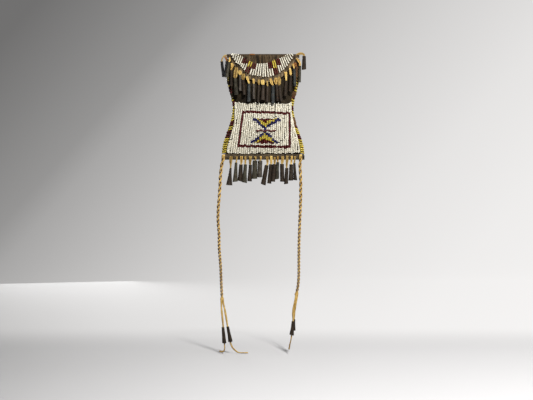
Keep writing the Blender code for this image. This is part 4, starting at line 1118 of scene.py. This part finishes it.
def tin_cone(name, throat, mouth_at, throat_radius, mouth_radius, chance, material):
    """A rolled cone from its throat to its mouth, with a seam, a tilted rim and a few dents."""
    grid, faces = tin_blank()
    along, length = (mouth_at - throat).normalized(), (mouth_at - throat).length
    side = Matrix.Rotation(chance.uniform(0, math.tau), 3, along) @ along.orthogonal().normalized()
    other = along.cross(side)
    flare = chance.uniform(1.1, 1.5)
    tilt = Vector((chance.uniform(-1, 1), chance.uniform(-1, 1))) * RIM_TILT
    oval = chance.uniform(0.0, 0.12)
    dents = [(chance.uniform(0.2, 0.95), chance.uniform(0, math.tau), chance.uniform(0.06, 0.16))
             for _ in range(3)]
    wall = sizes().tin
    points = []
    for u, v, _ in grid:
        share = (1 - v) / 2
        angle = (u + 1) / 2 * CONE_ROLL
        radius = between(throat_radius, mouth_radius - wall / 2, share ** flare)
        radius += wall * 0.55 * (angle / math.tau - 0.5)
        for at, around, deep in dents:
            hollow = math.exp(-((share - at) / CONE_DENT) ** 2) * max(0.0, math.cos(angle - around)) ** 3
            radius *= 1 - deep * hollow
        a, b = math.cos(angle) * radius * (1 + oval * share), math.sin(angle) * radius * (1 - oval * share)
        run = length * share + (tilt.x * a + tilt.y * b) / mouth_radius * share
        points.append(throat + along * run + side * a + other * b)
    made = mesh_object(name, points, faces, material)
    apply(made, "SOLIDIFY", thickness=wall, offset=0.0)
    face_outwards(made)
    smooth(made, 45)
    return made


def thong_loop(name, path, widths, thickness, chance, material):
    """A folded thong: two thicknesses of leather side by side, with a crease between them."""
    points = smooth_path(path, 0.0007)
    runs = runs_along(points)
    twist = chance.uniform(-0.5, 0.5)
    ripple = chance.uniform(0, math.tau)
    # fold sets how strong the painted shade in this thong's crease is
    fold = chance.choice((0.35, 0.7, 1.0))

    def section(i, angle):
        share = runs[i] / runs[-1]
        wide = eased(widths, share)
        thick = thickness * (0.85 + 0.25 * math.sin(ripple + share * 7))
        crease = 1 - 0.5 * math.cos(angle) ** 6 * clamp(wide / 0.0024)
        if share > 0.985 or share < 0.015:
            wide, thick = wide * 0.55, thick * 0.55
        out = math.cos(angle) * thick / 2 * crease
        over = math.sin(angle) * wide / 2 * (1 + 0.06 * math.sin(ripple + share * 19))
        # Painted shade down the middle of both faces, along the crease
        dark = 0.85 * math.cos(angle) ** 10 * clamp((wide - 0.0016) / 0.0012) * fold
        return *turned(out, over, twist * share), dark

    return swept_object(name, [sweep(points, section, 20)], material)


def hole_of(node):
    """Place of a drop's hole, from the frame's joint."""
    return next(Vector(joint["pos_m"]) for joint in frame["joints"] if joint["child"] == node)


def dress_drop(node, start, loop, throat, throat_radius, mouth, mouth_radius, tin, tone):
    """Thong and cone of one drop, which swing together; widths and radii are in millimetres."""
    chance = random.Random(node)
    cone = tin_cone(f"{node}_cone", throat, mouth, throat_radius * MM, mouth_radius * MM, chance, f"{tin}_tin")
    inside = throat + (mouth - throat).normalized() * THONG_INSIDE
    path = start + [place for place, _ in loop] + [throat, inside]
    widths = [loop[0][1] * 0.8] * len(start) + [width for _, width in loop] + [1.9, 1.4]
    runs = runs_along(path)
    stations = [(run / runs[-1], width * MM) for run, width in zip(runs, widths)]
    thong = thong_loop(f"{node}_thong", path, stations, THONG_THICKNESS, chance, tone)
    settle(cone, node, "tin_cones", node)
    settle(thong, node, "thong", node)


class BAG_OT_flap_drops(bpy.types.Operator):
    """Thongs and tin cones round the flap's edge"""
    bl_idname = "bag.flap_drops"
    bl_label = "Flap drops"

    def execute(self, context):
        for i, (loop, throat, mouth, tin, tone) in enumerate(FLAP_DROPS, start=2):
            node = f"flap_drop_{i:02d}"
            hole = hole_of(node)

            def at(side, down, thick):
                """A place that rests on the front, its beads or the rolled sides, or hangs at the hole."""
                x, drop = hole.x + side * MM, height(hole.z) + down * MM
                beads = BEAD_LAYER if drop > FIELD_TOP - 0.0026 else 0.0
                rest = max(front_depth(x, drop) + beads, ROLL_DEPTH + 2 * GAP) + REST_GAP + thick * MM
                lift = FLAP_DROP_LIFTS.get(i, 0.0) * clamp(down / 6)
                return Vector((x, min(hole.y, -rest) - lift, height(drop)))

            places = [(at(side, down, 0.9) - Vector((0, 0.0004, 0)), width) for side, down, width in loop]
            start = [places[0][0] + Vector((0, 0.0014, 0.0006))]
            dress_drop(node, start, places, at(*throat), throat[2], at(*mouth), mouth[2], tin, tone)
        for i, loop, throat, mouth, tin, tone in CORNER_DROPS:
            node = f"flap_drop_{i:02d}"
            y = hole_of(node).y
            places = [(Vector((x * MM, y, height(drop * MM))), width) for x, drop, width in loop]
            throat_at = Vector((throat[0] * MM, y + 0.0002, height(throat[1] * MM)))
            mouth_at = Vector((mouth[0] * MM, y + 0.0009, height(mouth[1] * MM)))
            dress_drop(node, [], places, throat_at, throat[2], mouth_at, mouth[2], tin, tone)
        return {"FINISHED"}


class BAG_OT_hem_drops(bpy.types.Operator):
    """Thongs and tin cones along the hem"""
    bl_idname = "bag.hem_drops"
    bl_label = "Hem drops"

    def execute(self, context):
        for i, (loop, throat, mouth, tin, tone) in enumerate(HEM_DROPS, start=1):
            node = f"hem_drop_{i:02d}"
            hole = hole_of(node)
            sway = 0.0015 if i % 2 else -0.0015

            def at(side, down, _):
                y = sway * ease(down / 12) - 0.0010 * ease(1 - abs(down) / 4)
                return hole + Vector((side * MM, y, -down * MM))

            places = [(at(*place), place[2]) for place in loop]
            start = [places[0][0] + Vector((0, 0.0016, 0.0004))]
            dress_drop(node, start, places, at(*throat), throat[2], at(*mouth), mouth[2] * HEM_MOUTH_SWELL,
                       tin, tone)
        return {"FINISHED"}


# Tails

def limp_cord(made, points, diameter, far_end, **more):
    tuple(points[0])
    round(runs_along(points)[-1], 3)
    [tuple(p) for p in points]


def twisted_tail(name, chance):
    """Two thongs twisted round each other, tighter and thinner towards the knot."""
    points = smooth_path([(x * MM, TAIL_Y, height(drop * MM)) for x, drop in TAIL_ROUTES[name]], 0.0007)
    last = len(points) - 1
    turns = [0.0]
    for i in range(1, len(points)):
        half_turn = between(SLACK_HALF_TURN, TIGHT_HALF_TURN, ease(i / last * 1.3))
        turns.append(turns[-1] + math.pi * (points[i] - points[i - 1]).length / half_turn)
    ply = sizes().ply
    parts = []
    for start in (0.0, math.pi):
        def section(i, angle, start=start):
            share = i / last
            wide = between(ply, ply * 0.84, share) * (1 + 0.07 * math.sin(i * 0.6 + start))
            out = between(ply * 0.94, ply * 0.86, share) + math.cos(angle) * wide * 0.78
            # Painted shade on each ply's inner side, where the plies meet, spreading further towards the knot
            dark = ease((between(0.15, 0.60, share) - math.cos(angle)) / 0.65)
            return *turned(out, math.sin(angle) * wide, turns[i] + start), dark

        parts.append(sweep(points, section, 14))
    made = swept_object(f"{name}_twist", parts, "thong")
    settle(made, "pouch", "thong", name)
    limp_cord(made, points, TAIL_DIAMETER, "knot")
    top = points[0]
    path = [top + Vector((0, 0.0004, 0.0012)), top + Vector((0, -0.0012, 0)), points[3], points[6]]
    widths = ((0.0, 0.0022), (0.35, 0.0036), (1.0, 0.0018))
    root = thong_loop(f"{name}_root", path, widths, ROOT_THICKNESS, chance, "pale")
    settle(root, "pouch", "thong", name)
    return points


def tail_knot(name, points):
    """An overhand knot pulled tight."""
    along = (points[-1] - points[-3]).normalized()
    middle = points[-1] + along * KNOT_LENGTH * 0.5
    side = Vector((0, -1, 0)).cross(along).normalized()
    front = along.cross(side).normalized()
    path = []
    for i in range(49):
        t = math.tau * i / 48 * 0.98
        a, b = math.sin(t) + 2 * math.sin(2 * t), math.cos(t) - 2 * math.cos(2 * t)
        path.append(middle + side * a * KNOT_ACROSS + along * b * KNOT_ALONG
                    - front * math.sin(3 * t) * KNOT_DEEP)

    def section(i, angle):
        swell = 1 + 0.08 * math.sin(i * 0.7)
        out, over = math.cos(angle) * KNOT_THICK * swell, math.sin(angle) * KNOT_WIDE * swell
        # The third value is painted shade on one side of the knot's thong
        return out, over, 0.5 * ease(-math.cos(angle))

    made = swept_object(f"{name}_knot", [sweep(path, section, 10)], "thong")
    settle(made, "pouch", "thong", name)


def tail_strand(name, cone_name, chance):
    """One thong below the knot, through its cone to its curled tip."""
    points = smooth_path([(x * MM, y * MM, height(drop * MM)) for x, y, drop in STRAND_ROUTES[name]], 0.0009)
    last = len(points) - 1

    def section(i, angle):
        share = i / last
        slim = 1 - 0.36 * ease((share - 0.62) / 0.25)
        lump = 1 + 0.08 * math.sin(i * 0.45)
        out, over = math.cos(angle) * STRAND_THICK * slim, math.sin(angle) * STRAND_WIDE * slim * lump
        # Darker towards the tip, plus painted shade on one side, which winds round the strand
        dark = 0.25 * ease((share - 0.8) / 0.1) + 0.25 * ease(-math.cos(angle) * 1.4)
        return *turned(out, over, i * 0.13), dark

    strand = swept_object(f"{name}_thong", [sweep(points, section, 10)], "thong")
    x, y, drop, mouth_x, length = (value * MM for value in TAIL_CONES[cone_name])
    throat = Vector((x, y, height(drop)))
    mouth = throat + Vector((mouth_x - x, 0, -math.sqrt(length ** 2 - (mouth_x - x) ** 2)))
    cone = tin_cone(
        f"{cone_name}_rolled", throat, mouth, TAIL_CONE_THROAT, TAIL_CONE_MOUTH, chance, "brown_tin")
    settle(strand, "pouch", "thong", name)
    settle(cone, "pouch", "tin_cones", cone_name)
    limp_cord(strand, points, STRAND_DIAMETER, "bare", with_pieces=[cone])


class BAG_OT_tails(bpy.types.Operator):
    """Two twisted tails, each with a knot, two strands and two cones"""
    bl_idname = "bag.tails"
    bl_label = "Tails"

    def execute(self, context):
        for name in TAIL_ROUTES:
            chance = random.Random(name)
            tail_knot(name, twisted_tail(name, chance))
            for letter in "ab":
                tail_strand(f"{name}_strand_{letter}", f"{name}_cone_{letter}", chance)
        return {"FINISHED"}


# Trim

# Small mends on the flap, and a dark patch of painted shade in its corner hole: places in millimetres
# (x, drop, lift), widths along them in millimetres, thickness and finish
MENDS = {
    # corner_hole_painted_shade is a near-black patch of painted shade for the shadowed inside of the flap's corner
    # hole
    "corner_hole_painted_shade": (((37.6, 6.8, 0.9), (39.4, 8.4, 1.0), (41.2, 10.4, 0.9)),
                    ((0.0, 1.2), (0.5, 3.0), (1.0, 1.2)), 0.0006, "dark_thread_and_painted_shade"),
    "corner_patch": (((37.2, 10.6, 1.1), (38.8, 12.4, 1.3), (39.8, 15.6, 1.1)),
                     ((0.0, 3.0), (0.4, 4.4), (1.0, 2.6)), 0.0010, "rust"),
    "edge_mend": (((-4.2, 30.0, 1.0), (0.6, 30.4, 1.2)),
                  ((0.0, 1.4), (0.5, 2.2), (1.0, 1.4)), 0.0011, "dark_thread_and_painted_shade"),
}
RING_X, RING_DROP = -0.0133, 0.0016


class BAG_OT_trim(bpy.types.Operator):
    """Reinforced hole and the patch on the flap, and the thread across the hourglass"""
    bl_idname = "bag.trim"
    bl_label = "Trim"

    def execute(self, context):
        right = Vector((1, 0, 0))
        out = (flap_point(RING_X, RING_DROP, 0.002) - flap_point(RING_X, RING_DROP)).normalized()
        middle = flap_point(RING_X, RING_DROP, FLAP_LEATHER / 2) + out * 0.0003
        turns = [math.tau * i / 24 * 0.985 for i in range(25)]
        path = [middle + right * math.cos(t) * 0.0030 + right.cross(out) * math.sin(t) * 0.0013 for t in turns]

        def rim(i, angle):
            return math.cos(angle) * 0.00055, math.sin(angle) * 0.00065

        settle(swept_object("flap_ring", [sweep(path, rim, 8)], "rust"), "flap", "leather")
        chance = random.Random(5)
        for name, (places, widths, thickness, material) in MENDS.items():
            path = [flap_point(x * MM, drop * MM, lift * MM) for x, drop, lift in places]
            widths = [(share, width * MM) for share, width in widths]
            settle(thong_loop(name, path, widths, thickness, chance, material), "flap", "leather")
        path = []
        for i in range(31):
            x = between(string_x(DOT_STRINGS[0], GLASS_MIDDLE), string_x(DOT_STRINGS[1], GLASS_MIDDLE), i / 30)
            drop = GLASS_MIDDLE + 0.0007 * math.sin(i * 0.55 + 1) * ease(i / 4) * ease((30 - i) / 8)
            path.append(front_point(x, drop) + Vector((0, -0.0030, 0)))

        def thread(i, angle):
            knob = 1 + 0.9 * math.exp(-(min(i, 30 - i) / 1.5) ** 2)
            return math.cos(angle) * 0.00055 * knob, math.sin(angle) * 0.00085 * knob

        settle(swept_object("cross_thread", [sweep(path, thread, 6)], "red_thread"), "pouch", "red_beads")
        return {"FINISHED"}


# Stage

def seen_rays(tree):
    """1 for what the camera, a reflection or a clear piece sees, and 0 for the light on the bag."""
    kinds = tree.nodes.new("ShaderNodeLightPath").outputs
    seen = kinds["Is Camera Ray"]
    for kind in ("Is Glossy Ray", "Is Transmission Ray"):
        either = tree.nodes.new("ShaderNodeMath")
        either.operation = "MAXIMUM"
        tree.links.new(seen, either.inputs[0])
        tree.links.new(kinds[kind], either.inputs[1])
        seen = either.outputs[0]
    return seen


def paper_finish(distance):
    """Greys that follow the photograph's background; near the bag lit by the lamps, so its shadow shows."""
    paper = Finish("paper", 0.9, specular=0.1)
    x, y, z = paper.add("ShaderNodeSeparateXYZ", {"Vector": paper.place()}).outputs
    away = paper.sum(paper.sum(y, distance - VIEW_CENTRE.y), 0.5, "MAXIMUM")
    down = paper.sum(paper.sum(z, -VIEW_CENTRE.z), -0.9, "MULTIPLY")
    slope = paper.sum(paper.sum(paper.sum(x, -VIEW_CENTRE.x), down), away, "DIVIDE")
    share = paper.sum(paper.sum(slope, 1.398, "MULTIPLY"), 0.496)
    # The tone is painted light: brighter towards the right and the bottom of the picture, and shown where the sheet
    # glows
    tone = paper.ramp(share, *((place, (grey, grey * 0.985, grey * 0.975)) for place, grey in PAPER_PAINTED_LIGHT))

    def fade(start, end, least=0.0):
        return paper.add("ShaderNodeMapRange", {"Value": y, "From Min": start, "From Max": end, "To Min": least},
                         interpolation_type="SMOOTHSTEP").outputs["Result"]

    seen = seen_rays(paper.tree)
    glowing = paper.sum(fade(0.03, 0.32), fade(-0.50, -1.10), "MAXIMUM")
    lit = paper.times(paper.times(tone, PAPER_GAIN), fade(-0.9, -0.36, 0.35))
    lit = paper.mix(glowing, lit, (0.0, 0.0, 0.0))
    paper.feed(paper.mix(seen, (0.14, 0.14, 0.14), lit), "Base Color")
    paper.feed(tone, "Emission Color")
    paper.feed(paper.sum(glowing, seen, "MULTIPLY"), "Emission Strength")
    return paper.material


class BAG_OT_stage(bpy.types.Operator):
    """Camera at the photograph's angle, pale floor and backdrop, and soft studio light"""
    bl_idname = "bag.stage"
    bl_label = "Stage"

    def execute(self, context):
        scene = bpy.context.scene
        scene.view_settings.view_transform = "Standard"
        distance = VIEW_WIDTH * LENS / FILM
        data = bpy.data.cameras.new("camera")
        data.lens, data.sensor_width = LENS, FILM
        data.clip_start, data.clip_end = 0.01, 20.0
        camera = bpy.data.objects.new("camera", data)
        camera.location = VIEW_CENTRE - Vector((0, distance, 0))
        camera.rotation_euler = (math.radians(90), 0, 0)
        scene.collection.objects.link(camera)
        scene.camera = camera

        nothing_selected()
        bpy.ops.mesh.primitive_grid_add(x_subdivisions=24, y_subdivisions=60, size=2)
        floor = bpy.context.object
        floor.name = "floor"
        arc = BEND * math.pi / 2
        for vertex in floor.data.vertices:
            y = FLOOR_NEAR + (vertex.co.y + 1) / 2 * FLOOR_RUN
            turn = clamp((y - BEND_START) / BEND, 0.0, math.pi / 2)
            rise = BEND * (1 - math.cos(turn)) + max(0.0, y - BEND_START - arc)
            vertex.co = (vertex.co.x * FLOOR_HALF, min(y, BEND_START) + BEND * math.sin(turn), FLOOR_Z + rise)
        floor.data.shade_smooth()
        floor.data.materials.append(paper_finish(distance))

        for name, (place, size, power) in LAMPS.items():
            lamp = bpy.data.lights.new(name, "AREA")
            lamp.shape, lamp.size, lamp.energy = "DISK", size, power
            light = bpy.data.objects.new(name, lamp)
            light.location = place
            light.visible_camera = False
            aim = Vector((0, 0, -0.12)) - Vector(place)
            light.rotation_euler = aim.to_track_quat("-Z", "Y").to_euler()
            scene.collection.objects.link(light)
        scene.world = bpy.data.worlds.new("studio")
        scene.world.use_nodes = True
        tree = scene.world.node_tree
        sky = tree.nodes["Background"].inputs
        sky["Color"].default_value = (1.0, 1.0, 1.0, 1.0)
        level = tree.nodes.new("ShaderNodeMapRange")
        level.inputs["To Min"].default_value = SKY_LIGHT
        level.inputs["To Max"].default_value = SKY_SEEN
        tree.links.new(seen_rays(tree), level.inputs["Value"])
        tree.links.new(level.outputs["Result"], sky["Strength"])
        return {"FINISHED"}


OPERATORS = (
    BAG_OT_stage, BAG_OT_tails, BAG_OT_back_and_flap, BAG_OT_front_leather, BAG_OT_hem, BAG_OT_front_beads,
    BAG_OT_flap_beads, BAG_OT_edge_beads, BAG_OT_flap_drops, BAG_OT_hem_drops, BAG_OT_trim,
)


class BAG_PT_pieces(bpy.types.Panel):
    bl_label = "Strike-a-light bag"
    bl_space_type = "VIEW_3D"
    bl_region_type = "UI"
    bl_category = "Bag"

    def draw(self, context):
        layout = self.layout
        for group in (context.scene.bag_sizes, context.scene.bag_colours):
            for name in group.__annotations__:
                layout.prop(group, name)
        for operator in OPERATORS:
            layout.operator(operator.bl_idname)


CLASSES = (BagSizes, BagColours) + OPERATORS + (BAG_PT_pieces,)


def register():
    for kind in CLASSES:
        bpy.utils.register_class(kind)
    bpy.types.Scene.bag_sizes = bpy.props.PointerProperty(type=BagSizes)
    bpy.types.Scene.bag_colours = bpy.props.PointerProperty(type=BagColours)


def unregister():
    del bpy.types.Scene.bag_colours
    del bpy.types.Scene.bag_sizes
    for kind in reversed(CLASSES):
        bpy.utils.unregister_class(kind)


def main():
    register()
    for operator in OPERATORS:
        group, name = operator.bl_idname.split(".")
        getattr(getattr(bpy.ops, group), name)()


if __name__ == "__main__":
    main()
